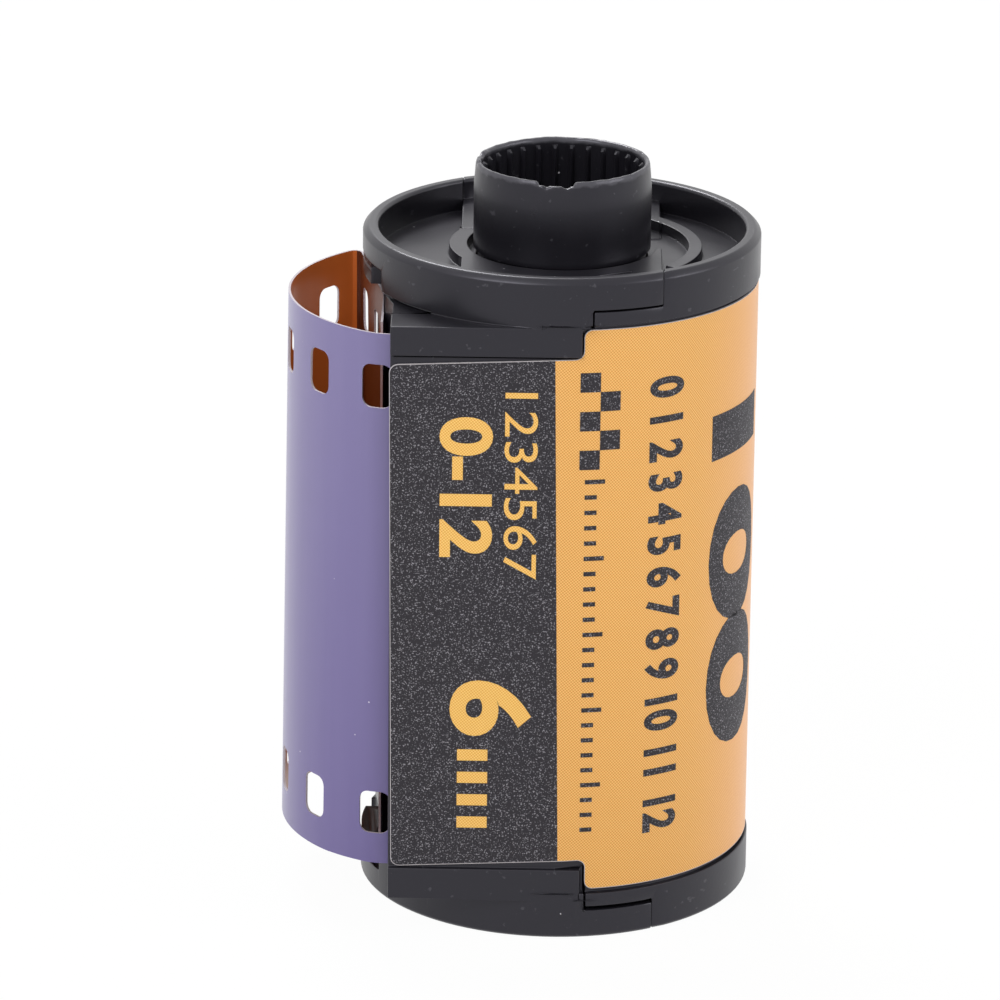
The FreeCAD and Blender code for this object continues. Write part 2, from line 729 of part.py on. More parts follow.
def perforation_rows(path, d):
    bars = []
    pitch = d["perforation_pitch"].number
    rows = (d["perforation_edge"].number,
            (d["film_width"] - d["perforation_edge"] - d["perforation_height"]).number)
    distance = d["perforation_start"].number
    while distance + d["perforation_length"].number < path.Length:
        spot, direction = along_path(path, distance)
        for height in rows:
            lift = FreeCAD.Vector(0, 0, d["film_bottom"].number + height)
            bars.append(perforation(d, spot + lift, direction))
        distance += pitch
    return Part.makeCompound(bars)


def along_path(path, distance):
    for edge in path.OrderedEdges:
        if distance <= edge.Length:
            parameter = edge.getParameterByLength(distance)
            return edge.valueAt(parameter), edge.tangentAt(parameter)
        distance -= edge.Length
    raise RuntimeError("a perforation lies past the film's end")


def make_leader(doc, d):
    path = leader_path(d)
    strip = doc.addObject("Part::Feature", "leader_strip")
    strip.Shape = leader_strip(path, d)
    holes = doc.addObject("Part::Feature", "perforations")
    holes.Shape = perforation_rows(path, d)
    return boolean(doc, "Cut", "film_leader", strip, holes)


def make_felts(doc, d):
    film_half = d["film_thickness"] * 0.5
    low = d["slot_end_gap"]
    high = d["can_height"] - d["slot_end_gap"]
    left = -d["felt_left"]
    front = block(doc, "front_felt", (left, -d["slot_front"], low),
                  (-d["front_felt_right"], -d["trap_line"] - film_half, high))
    rear = block(doc, "rear_felt", (left, -d["trap_line"] + film_half, low),
                 (-d["rear_felt_right"], -d["slot_rear"], high))
    return [front, rear]


# Label

def make_label(doc, d):
    body = doc.addObject("PartDesign::Body", "label")
    band = new_sketch(body, "label_band", height=d["label_bottom"])
    face = d["wall_radius"]
    outside = face + d["label_thickness"]
    start, end = d["label_start_angle"].number, d["label_end_angle"]
    outer = centred_arc(band, outside, start, end.number)
    inner = centred_arc(band, face, start, end.number)
    join_line(band, outer, 2, inner, 2)
    hold_angle(band, outer, 2, end, outside)
    hold_angle(band, inner, 2, end, face)
    left = -d["label_left"]
    lines = []
    for arc, radius in ((outer, outside), (inner, face)):
        tangent = FreeCAD.Vector(0, -radius.number, 0)
        free = FreeCAD.Vector(left.number, -radius.number, 0)
        number = band.addGeometry(Part.LineSegment(tangent, free), False)
        band.addConstraint(Sketcher.Constraint("Coincident", number, 1, arc, 1))
        hold_point(band, number, 2, (left, -radius))
        lines.append(number)
    for arc in (outer, inner):
        band.addConstraint(Sketcher.Constraint("PointOnObject", arc, 1, -2))
    join_line(band, lines[0], 2, lines[1], 2)
    pad(body, band, d["label_top"] - d["label_bottom"])
    margin = d["label_trim_margin"]
    trims = (
        ("top", d["label_flat_top_left"], d["label_flat_top_right"], d["label_top"] + margin),
        ("bottom", d["label_flat_bottom_left"], d["label_flat_bottom_right"], d["label_bottom"] - margin))
    for name, at_left, at_step, beyond in trims:
        trim = new_sketch(body, f"label_{name}_trim", "XZ_Plane")
        polygon(trim, [(left, at_left), (d["label_step"], at_step), (d["label_step"], beyond),
                       (left - margin, beyond), (left - margin, at_left)])
        pocket(body, trim, d["label_trim_depth"], reverse=True)
    left_ends = (d["label_flat_bottom_left"], d["label_flat_top_left"])
    step_ends = (d["label_flat_bottom_right"], d["label_flat_top_right"])
    outer_ends = (d["label_bottom"], d["label_top"])
    round_edges(body, d["label_corner"], lambda edge: is_label_corner(edge, left, left_ends))
    round_edges(body, d["label_step_corner"], lambda edge: is_label_corner(edge, d["label_step"], outer_ends))
    round_edges(body, d["label_step_corner"], lambda edge: is_label_corner(edge, d["label_step"], step_ends))
    return body


def is_label_corner(edge, x, levels):
    # A short edge through the paper's thickness at one of the label's front corners
    middle = edge.CenterOfMass
    near_level = any(abs(middle.z - level.number) < NEAR for level in levels)
    return edge.Length < PAPER_EDGE and middle.y < 0 and abs(middle.x - x.number) < NEAR and near_level


def report_state(doc):
    for item in doc.Objects:
        if "Invalid" in item.State or "Error" in item.State:
            raise RuntimeError(f"{item.Name} failed: {item.State}")


def write_parts(doc, nodes):
    doc.recompute()
    report_state(doc)
    for node in nodes:
        shape = node.Shape
        if shape.isNull() or not shape.isValid():
            raise RuntimeError(f"{node.Label} has no valid shape")
    for node in nodes:
        node.Shape.exportStep(f"parts/{node.Label}.step")


def main():
    os.makedirs("parts", exist_ok=True)
    doc = FreeCAD.newDocument("film_cassette")
    d = make_sheet(doc)
    nodes = make_shells(doc, d)
    nodes.append(make_spool(doc, d))
    nodes += make_roll(doc, d)
    nodes.append(make_leader(doc, d))
    nodes += make_felts(doc, d)
    nodes.append(make_label(doc, d))
    write_parts(doc, nodes)


main()
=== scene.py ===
"""A 35 mm film cassette: moulded shells, ribbed spool post, curled film leader and printed label."""

import json
import logging
import math
from contextlib import contextmanager
from dataclasses import dataclass
from enum import Enum
from typing import Any, Callable, Iterator

import bmesh
import bpy
from mathutils import Matrix, Vector, noise

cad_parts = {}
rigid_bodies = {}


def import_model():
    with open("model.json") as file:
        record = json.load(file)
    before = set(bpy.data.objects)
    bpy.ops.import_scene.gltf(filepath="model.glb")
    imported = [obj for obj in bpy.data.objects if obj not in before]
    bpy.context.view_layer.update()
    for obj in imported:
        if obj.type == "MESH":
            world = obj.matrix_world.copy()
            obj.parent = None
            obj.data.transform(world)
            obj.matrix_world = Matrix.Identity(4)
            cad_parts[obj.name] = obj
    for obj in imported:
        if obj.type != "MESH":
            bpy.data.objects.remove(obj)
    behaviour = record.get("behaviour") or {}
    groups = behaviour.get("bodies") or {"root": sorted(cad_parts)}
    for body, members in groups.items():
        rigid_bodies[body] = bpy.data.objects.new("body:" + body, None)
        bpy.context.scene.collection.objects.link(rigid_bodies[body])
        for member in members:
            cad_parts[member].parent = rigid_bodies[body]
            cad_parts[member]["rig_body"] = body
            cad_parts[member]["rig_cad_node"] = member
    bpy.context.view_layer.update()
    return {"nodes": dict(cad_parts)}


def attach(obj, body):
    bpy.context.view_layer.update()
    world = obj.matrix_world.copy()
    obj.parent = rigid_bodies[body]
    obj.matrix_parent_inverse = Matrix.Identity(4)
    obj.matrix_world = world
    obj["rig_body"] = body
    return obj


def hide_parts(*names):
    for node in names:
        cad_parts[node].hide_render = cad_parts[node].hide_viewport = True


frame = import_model()

MM = 0.001
CUT_TOLERANCE = 1e-7
LOG = logging.getLogger("film_cassette")

Shader = bpy.types.ShaderNodeBsdfPrincipled
Socket = bpy.types.NodeSocket


class Body(Enum):
    """The bodies that pieces ride on."""

    CARTRIDGE = "cartridge"
    SPOOL = "spool"


class Slot(Enum):
    """The record's material slots."""

    SHELL = "shell_plastic"
    SPOOL = "spool_plastic"
    FILM = "film_base"
    FELT = "felt"
    LABEL = "label_paper"
    TAPE = "tape"


def linear(colour: str) -> tuple[float, float, float, float]:
    """Turns an sRGB hex colour into linear values.

    Args:
        colour: six hex digits after a hash sign.

    Returns:
        Red, green, blue and an alpha of 1, all linear.
    """
    values = []
    for start in (1, 3, 5):
        part = int(colour[start:start + 2], 16) / 255
        values.append(part / 12.92 if part <= 0.04045 else ((part + 0.055) / 1.055) ** 2.4)
    return (*values, 1.0)


def add_node(tree: bpy.types.NodeTree, kind: str, settings: dict[Any, Any] | None = None,
             links: dict[Any, Socket] | None = None) -> bpy.types.Node:
    """Adds one node with its settings and its links.

    Args:
        tree: the material's node tree.
        kind: the node's type name without the ShaderNode prefix.
        settings: values by input name or number, or by the node's own property name.
        links: output sockets by the input name or number that they feed.

    Returns:
        The new node.
    """
    node = tree.nodes.new("ShaderNode" + kind)
    for name, value in (settings or {}).items():
        if isinstance(name, str) and hasattr(node, name):
            setattr(node, name, value)
        else:
            node.inputs[name].default_value = value
    for name, source in (links or {}).items():
        tree.links.new(source, node.inputs[name])
    return node


def new_material(name: str) -> tuple[bpy.types.Material, bpy.types.NodeTree, Shader]:
    """Starts a material.

    Args:
        name: the material's name.

    Returns:
        The material, its node tree and its Principled shader.
    """
    material = bpy.data.materials.new(name)
    material.use_nodes = True
    tree = material.node_tree
    return material, tree, tree.nodes["Principled BSDF"]


def mask_above(tree: bpy.types.NodeTree, value: Socket, level: float, soft: float) -> Socket:
    """Makes a mask that rises from 0 to 1 round a level.

    Args:
        tree: the material's node tree.
        value: the value to test.
        level: where the mask is a half.
        soft: half the width of the rise.

    Returns:
        The mask.
    """
    node = add_node(tree, "MapRange", {"From Min": level - soft, "From Max": level + soft}, {"Value": value})
    return node.outputs["Result"]


def specks(tree: bpy.types.NodeTree, place: Socket, spacing_mm: float, size: float) -> Socket:
    """Makes a mask of small separate specks.

    Args:
        tree: the material's node tree.
        place: the coordinates that the specks follow, in metres.
        spacing_mm: the mean distance between specks.
        size: a speck's radius as a share of that distance.

    Returns:
        The mask, 1 on a speck.
    """
    cells = add_node(tree, "TexVoronoi", {"Scale": 1 / (spacing_mm * MM)}, {"Vector": place})
    inside = add_node(tree, "MapRange", {"From Min": size, "From Max": size * 0.6},
                      {"Value": cells.outputs["Distance"]})
    return inside.outputs["Result"]


def mix_colour(tree: bpy.types.NodeTree, share: Socket, first: Any, second: Any) -> Socket:
    """Mixes two colours.

    Args:
        tree: the material's node tree.
        share: how much of the second colour shows.
        first: a colour value or a colour socket.
        second: a colour value or a colour socket.

    Returns:
        The mixed colour.
    """
    node = add_node(tree, "Mix", {"data_type": "RGBA"}, {0: share})
    for number, colour in ((6, first), (7, second)):
        if isinstance(colour, bpy.types.NodeSocket):
            tree.links.new(colour, node.inputs[number])
        else:
            node.inputs[number].default_value = colour
    return node.outputs[2]


@dataclass(frozen=True)
class MouldedPolystyrene:
    """Black injection-moulded polystyrene: a satin skin with a fine grain, hairline scratches and dust."""

    name: str
    colour: str = "#1a191e"
    tint: str = "#f0eefb"
    worn_colour: str = "#5c5b61"
    dust_colour: str = "#dddbe1"
    roughness: float = 0.31
    specular: float = 0.42
    grain_mm: float = 0.22
    scratch_mm: float = 0.5
    dust_spacing_mm: float = 2.4
    dust_size: float = 0.03
    worn_above_mm: float | None = None

    def build(self) -> bpy.types.Material:
        """Returns the finished material."""
        material, tree, shader = new_material(self.name)
        place = add_node(tree, "TexCoord").outputs["Object"]
        grain = add_node(tree, "TexNoise", {"Scale": 1 / (self.grain_mm * MM), "Detail": 3.0}, {"Vector": place})
        clouds = add_node(tree, "TexNoise", {"Scale": 260.0, "Detail": 4.0}, {"Vector": place})
        drawn = add_node(tree, "Mapping", {"Rotation": (0.5, 0.3, 0.6), "Scale": (1.0, 0.06, 1.0)},
                         {"Vector": place})
        lines = add_node(tree, "TexNoise", {"Scale": 1 / (self.scratch_mm * MM), "Detail": 5.0},
                         {"Vector": drawn.outputs[0]})
        scratch = mask_above(tree, lines.outputs["Fac"], 0.69, 0.02)
        dust = specks(tree, place, self.dust_spacing_mm, self.dust_size)
        dulled = add_node(tree, "Math", {"operation": "MULTIPLY", 1: 0.35}, {0: scratch}).outputs[0]
        tone = mix_colour(tree, dulled, linear(self.colour), linear(self.worn_colour))
        if self.worn_above_mm is not None:
            tone = mix_colour(tree, self.wear_mask(tree, place), tone, linear(self.worn_colour))
        tree.links.new(mix_colour(tree, dust, tone, linear(self.dust_colour)), shader.inputs["Base Color"])
        gloss = add_node(tree, "MapRange", {"To Min": self.roughness - 0.08, "To Max": self.roughness + 0.12},
                         {"Value": clouds.outputs["Fac"]})
        tree.links.new(gloss.outputs["Result"], shader.inputs["Roughness"])
        relief = add_node(tree, "Bump", {"Strength": 0.18, "Distance": 0.02 * MM}, {"Height": grain.outputs["Fac"]})
        tree.links.new(relief.outputs["Normal"], shader.inputs["Normal"])
        shader.inputs["IOR"].default_value = 1.55
        shader.inputs["Specular IOR Level"].default_value = self.specular
        shader.inputs["Specular Tint"].default_value = linear(self.tint)
        return material

    def wear_mask(self, tree: bpy.types.NodeTree, place: Socket) -> Socket:
        """Makes the ragged pale wear above a height.

        Args:
            tree: the material's node tree.
            place: Object coordinates.

        Returns:
            The mask, 1 where the surface is rubbed pale.
        """
        ragged = add_node(tree, "TexNoise", {"Scale": 1500.0, "Detail": 4.0}, {"Vector": place})
        height = add_node(tree, "SeparateXYZ", {}, {0: place}).outputs["Z"]
        shift = add_node(tree, "Math", {"operation": "MULTIPLY_ADD", 1: 0.5 * MM, 2: -0.25 * MM},
                         {0: ragged.outputs["Fac"]})
        moved = add_node(tree, "Math", {"operation": "ADD"}, {0: height, 1: shift.outputs[0]})
        mask = mask_above(tree, moved.outputs[0], self.worn_above_mm * MM, 0.08 * MM)
        return add_node(tree, "Math", {"operation": "MULTIPLY", 1: 0.55}, {0: mask}).outputs[0]


@dataclass(frozen=True)
class CoatedFilm:
    """Gelatine-coated acetate film: a smooth glossy skin with faint painted light streaks along its height and
    painted shade that darkens it towards the bottom.
    """

    name: str
    colour: str
    # The darker colour that the painted shade and the painted light streaks mix in.
    painted_shade_colour: str
    roughness: float
    coat: float
    # Strength of a painted glow in the film's colour that stands in for light coming through the film.
    painted_glow: float = 0.0

    def build(self) -> bpy.types.Material:
        """Returns the finished material."""
        material, tree, shader = new_material(self.name)
        place = add_node(tree, "TexCoord").outputs["Object"]
        drawn = add_node(tree, "Mapping", {"Scale": (1.0, 1.0, 0.05)}, {"Vector": place})
        # Painted light streaks: noise mixes a little of the shade colour in faint streaks along the height.
        streaks = add_node(tree, "TexNoise", {"Scale": 900.0, "Detail": 3.0}, {"Vector": drawn.outputs[0]})
        height = add_node(tree, "SeparateXYZ", {}, {0: place}).outputs["Z"]
        # Painted shade: the shade colour's share rises from 0.05 at 39 mm height to 0.75 at 4 mm.
        painted_shade_fall = add_node(tree, "MapRange", {"From Min": 4 * MM, "From Max": 39 * MM, "To Min": 0.75, "To Max": 0.05},
                        {"Value": height})
        share = add_node(tree, "Math", {"operation": "MULTIPLY_ADD", 1: 0.25},
                         {0: streaks.outputs["Fac"], 2: painted_shade_fall.outputs["Result"]})
        tone = mix_colour(tree, share.outputs[0], linear(self.colour), linear(self.painted_shade_colour))
        dust = specks(tree, place, 2.2, 0.03)
        tree.links.new(mix_colour(tree, dust, tone, linear("#d8d2e0")), shader.inputs["Base Color"])
        # Painted glow: emission in the film's colour stands in for light coming through the film from behind.
        if self.painted_glow:
            tree.links.new(tone, shader.inputs["Emission Color"])
            shader.inputs["Emission Strength"].default_value = self.painted_glow
        shader.inputs["Roughness"].default_value = self.roughness
        shader.inputs["Coat Weight"].default_value = self.coat
        shader.inputs["Coat Roughness"].default_value = 0.12
        return material


@dataclass(frozen=True)
class CutEdge:
    """The pale edge of punched or slit film and paper, which scatters light."""

    name: str
    colour: str

    def build(self) -> bpy.types.Material:
        """Returns the finished material."""
        material, tree, shader = new_material(self.name)
        place = add_node(tree, "TexCoord").outputs["Object"]
        fibres = add_node(tree, "TexNoise", {"Scale": 6000.0, "Detail": 2.0}, {"Vector": place})
        tone = mix_colour(tree, fibres.outputs["Fac"], linear(self.colour), linear("#cfc8cc"))
        tree.links.new(tone, shader.inputs["Base Color"])
        shader.inputs["Roughness"].default_value = 0.6
        return material


@dataclass(frozen=True)
class SpeckledInk:
    """Matt black offset ink on coated paper: the white paper shows through in pin-sized specks."""

    name: str
    colour: str = "#242127"
    paper: str = "#a7a4ab"
    grain_mm: float = 0.095

    def build(self) -> bpy.types.Material:
        """Returns the finished material."""
        material, tree, shader = new_material(self.name)
        place = add_node(tree, "TexCoord").outputs["Object"]
        grain = add_node(tree, "TexNoise", {"Scale": 1 / (self.grain_mm * MM), "Detail": 2.0}, {"Vector": place})
        pores = mask_above(tree, grain.outputs["Fac"], 0.63, 0.05)
        share = add_node(tree, "Math", {"operation": "MULTIPLY", 1: 0.8}, {0: pores}).outputs[0]
        tone = mix_colour(tree, share, linear(self.colour), linear(self.paper))
        tree.links.new(tone, shader.inputs["Base Color"])
        shader.inputs["Roughness"].default_value = 0.55
        shader.inputs["Specular IOR Level"].default_value = 0.35
        relief = add_node(tree, "Bump", {"Strength": 0.12, "Distance": 0.02 * MM}, {"Height": grain.outputs["Fac"]})
        tree.links.new(relief.outputs["Normal"], shader.inputs["Normal"])
        return material


@dataclass(frozen=True)
class HalftoneYellow:
    """Yellow printed on coated paper as a slanted halftone mesh, which turns pinkish orange round the label's side:
    partly the print's own shift, partly a painted sheen.

    The real mesh is about 0.1 mm; it is drawn a little coarser so that it shows.
    """

    name: str
    light: str = "#f7c272"
    dark: str = "#db9438"
    # Pinkish-orange end of the drift: the print's own colour shift mixed with painted sheen.
    peach_print_and_sheen: str = "#f0a878"
    mesh_mm: float = 0.1
    drift_from_mm: float = 20.0
    drift_to_mm: float = 31.0

    def build(self) -> bpy.types.Material:
        """Returns the finished material."""
        material, tree, shader = new_material(self.name)
        plan = add_node(tree, "UVMap", {"uv_map": "plan"}).outputs["UV"]
        turned = add_node(tree, "Mapping", {"Rotation": (0, 0, math.radians(6))}, {"Vector": plan})
        mesh = add_node(tree, "TexChecker", {"Scale": 1 / self.mesh_mm, "Color1": linear(self.light),
                                             "Color2": linear(self.dark)}, {"Vector": turned.outputs[0]})
        # Towards the label's side the yellow drifts to pinkish orange: partly the print's own shift, partly painted
        # sheen of grazing light.
        along = add_node(tree, "SeparateXYZ", {}, {0: plan}).outputs["X"]
        drift = add_node(tree, "MapRange", {"From Min": self.drift_from_mm, "From Max": self.drift_to_mm,
                                            "To Max": 0.6}, {"Value": along})
        tone = mix_colour(tree, drift.outputs["Result"], mesh.outputs["Color"], linear(self.peach_print_and_sheen))
        tree.links.new(tone, shader.inputs["Base Color"])
        shader.inputs["Roughness"].default_value = 0.42
        shader.inputs["Coat Weight"].default_value = 0.15
        return material


@dataclass(frozen=True)
class NeedledPlush:
    """Black light-trap plush: short dense fibres with a faint sheen."""

    name: str
    colour: str = "#141415"
    pile_mm: float = 0.15

    def build(self) -> bpy.types.Material:
        """Returns the finished material."""
        material, tree, shader = new_material(self.name)
        place = add_node(tree, "TexCoord").outputs["Object"]
        pile = add_node(tree, "TexNoise", {"Scale": 1 / (self.pile_mm * MM), "Detail": 4.0}, {"Vector": place})
        tone = mix_colour(tree, pile.outputs["Fac"], linear(self.colour), linear("#2c2c2e"))
        tree.links.new(tone, shader.inputs["Base Color"])
        relief = add_node(tree, "Bump", {"Strength": 0.6, "Distance": 0.08 * MM}, {"Height": pile.outputs["Fac"]})
        tree.links.new(relief.outputs["Normal"], shader.inputs["Normal"])
        shader.inputs["Roughness"].default_value = 0.95
        shader.inputs["Sheen Weight"].default_value = 0.3
        return material


@dataclass(frozen=True)
class SpliceTape:
    """Clear yellowish adhesive tape."""

    name: str
    colour: str = "#cfc391"

    def build(self) -> bpy.types.Material:
        """Returns the finished material."""
        material, tree, shader = new_material(self.name)
        place = add_node(tree, "TexCoord").outputs["Object"]
        clouds = add_node(tree, "TexNoise", {"Scale": 500.0}, {"Vector": place})
        tone = mix_colour(tree, clouds.outputs["Fac"], linear(self.colour), linear("#b9a86c"))
        tree.links.new(tone, shader.inputs["Base Color"])
        shader.inputs["Roughness"].default_value = 0.25
        return material


def clear_selection() -> None:
    """Leaves object mode with nothing selected."""
    if bpy.context.mode != "OBJECT":
        bpy.ops.object.mode_set(mode="OBJECT")
    bpy.ops.object.select_all(action="DESELECT")


def choose(piece: bpy.types.Object) -> None:
    """Makes a piece the only selected and active object."""
    clear_selection()
    piece.select_set(True)
    bpy.context.view_layer.objects.active = piece


@contextmanager
def editing(piece: bpy.types.Object) -> Iterator[None]:
    """Opens a piece in edit mode and closes it afterwards."""
    choose(piece)
    bpy.ops.object.mode_set(mode="EDIT")
    yield
    bpy.ops.object.mode_set(mode="OBJECT")


def pick(piece: bpy.types.Object, kind: str, test: Callable[[Any], bool]) -> int:
    """Selects the vertices, edges or faces that pass a test, in edit mode.

    Args:
        piece: the piece that is open in edit mode.
        kind: verts, edges or faces.
        test: says whether an element is wanted.

    Returns:
        How many elements were selected.
    """
    modes = {"verts": "VERT", "edges": "EDGE", "faces": "FACE"}
    bpy.ops.mesh.select_mode(type=modes[kind])
    bpy.ops.mesh.select_all(action="DESELECT")
    mesh = bmesh.from_edit_mesh(piece.data)
    chosen = [element for element in getattr(mesh, kind) if test(element)]
    for element in chosen:
        element.select_set(True)
    mesh.select_flush_mode()
    bmesh.update_edit_mesh(piece.data)
    return len(chosen)


def apply_modifier(piece: bpy.types.Object, kind: str, **settings: Any) -> None:
    """Adds a modifier with its settings and applies it."""
    choose(piece)
    modifier = piece.modifiers.new(kind.title(), kind)
    for name, value in settings.items():
        setattr(modifier, name, value)
    bpy.ops.object.modifier_apply(modifier=modifier.name)


def combine(piece: bpy.types.Object, tool: bpy.types.Object, operation: str) -> None:
    """Cuts, joins or crosses a piece with a tool, which is used up.

    Args:
        piece: the piece that changes.
        tool: the other form.
        operation: DIFFERENCE, UNION or INTERSECT.
    """
    apply_modifier(piece, "BOOLEAN", operation=operation, object=tool, solver="EXACT")
    bpy.data.objects.remove(tool)


def set_down(piece: bpy.types.Object, name: str, body: Body, node: str | None = None) -> None:
    """Puts a finished piece's place in its mesh and ties it to the frame.

    Args:
        piece: the finished piece.
        name: the piece's name.
        body: the body that it rides on.
        node: the CAD node that it stands for, if any.
    """
    choose(piece)
    bpy.ops.object.transform_apply(location=True, rotation=True, scale=True)
    piece.name = name
    piece.data.name = name
    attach(piece, body.value)
    if node:
        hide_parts(node)
    LOG.info("%s: %d faces", name, len(piece.data.polygons))


def left_of(direction: Vector) -> Vector:
    """Returns the direction turned a quarter to the left."""
    return Vector((-direction.y, direction.x))


@dataclass(frozen=True)
class Span:
    """One straight or circular stretch of a path seen from above, in millimetres."""

    start: Vector
    heading: float
    length: float
    radius: float = 0.0

    def at(self, distance: float) -> tuple[Vector, float]:
        """Finds a place on the stretch.

        Args:
            distance: how far along the stretch.

        Returns:
            The point and the heading there, in radians.
        """
        ahead = Vector((math.cos(self.heading), math.sin(self.heading)))
        if not self.radius:
            return self.start + ahead * distance, self.heading
        heading = self.heading + distance / self.radius
        centre = self.start + left_of(ahead) * self.radius
        across = Vector((-math.sin(heading), math.cos(heading)))
        return centre - across * self.radius, heading


class PlanPath:
    """A tangent chain of spans that a flat sheet is wrapped along."""

    def __init__(self, start: Vector, heading: float) -> None:
        """Starts the path.

        Args:
            start: the first point.
            heading: the first direction, in radians.
        """
        self.spans: list[Span] = []
        self.tip = start
        self.heading = heading

    @property
    def length(self) -> float:
        """The path's whole length."""
        return sum(span.length for span in self.spans)

    def run(self, length: float, radius: float = 0.0) -> None:
        """Adds a stretch; a positive radius turns left and a negative one right."""
        span = Span(self.tip, self.heading, length, radius)
        self.spans.append(span)
        self.tip, self.heading = span.at(length)

    def turn(self, radius: float, angle: float) -> None:
        """Adds a right-hand bend of an angle in radians."""
        self.run(radius * angle, -radius)

    def at(self, distance: float) -> tuple[Vector, float]:
        """Finds a place on the path.

        Args:
            distance: how far along the path.

        Returns:
            The point and the heading there, in radians.
        """
        for span in self.spans[:-1]:
            if distance <= span.length:
                return span.at(distance)
            distance -= span.length
        return self.spans[-1].at(distance)


def wrap(piece: bpy.types.Object, path: PlanPath, lean: Callable[[float, float], float] | None = None) -> None:
    """Moves a flat sheet's points onto a path: X runs along it, Y becomes the height and Z the outward offset.

    Args:
        piece: the flat sheet, with its place in its mesh.
        path: the path in millimetres.
        lean: how much further out a point moves, from its distance and height, all in millimetres.
    """
    for vertex in piece.data.vertices:
        along, height, proud = (value / MM for value in vertex.co)
        point, heading = path.at(along)
        place = point - left_of(Vector((math.cos(heading), math.sin(heading)))) * proud
        if lean:
            place += left_of(Vector((math.cos(heading), math.sin(heading)))) * lean(along, height)
        vertex.co = Vector((place.x, place.y, height)) * MM
    piece.data.update()


def slice_along(piece: bpy.types.Object, places: list[float]) -> None:
    """Cuts a flat sheet across X at each place, so that it can bend there.

    Args:
        piece: the flat sheet.
        places: the cuts, in millimetres.
    """
    with editing(piece):
        for place in places:
            bpy.ops.mesh.select_all(action="SELECT")
            bpy.ops.mesh.bisect(plane_co=(place * MM, 0, 0), plane_no=(1, 0, 0), threshold=CUT_TOLERANCE)


def add_plan_map(piece: bpy.types.Object) -> None:
    """Keeps a flat sheet's own millimetres as its UV map named plan."""
    layer = piece.data.uv_layers.get("plan") or piece.data.uv_layers.new(name="plan")
    for loop in piece.data.loops:
        place = piece.data.vertices[loop.vertex_index].co / MM
        layer.data[loop.index].uv = (place.x, place.y)
    piece.data.uv_layers.active = layer


@dataclass(frozen=True)
class Level:
    """A height of the lip shell's front whose points move up or down, in millimetres."""

    height: float
    shift: float
    left: float = -12.0
    right: float = 1.7


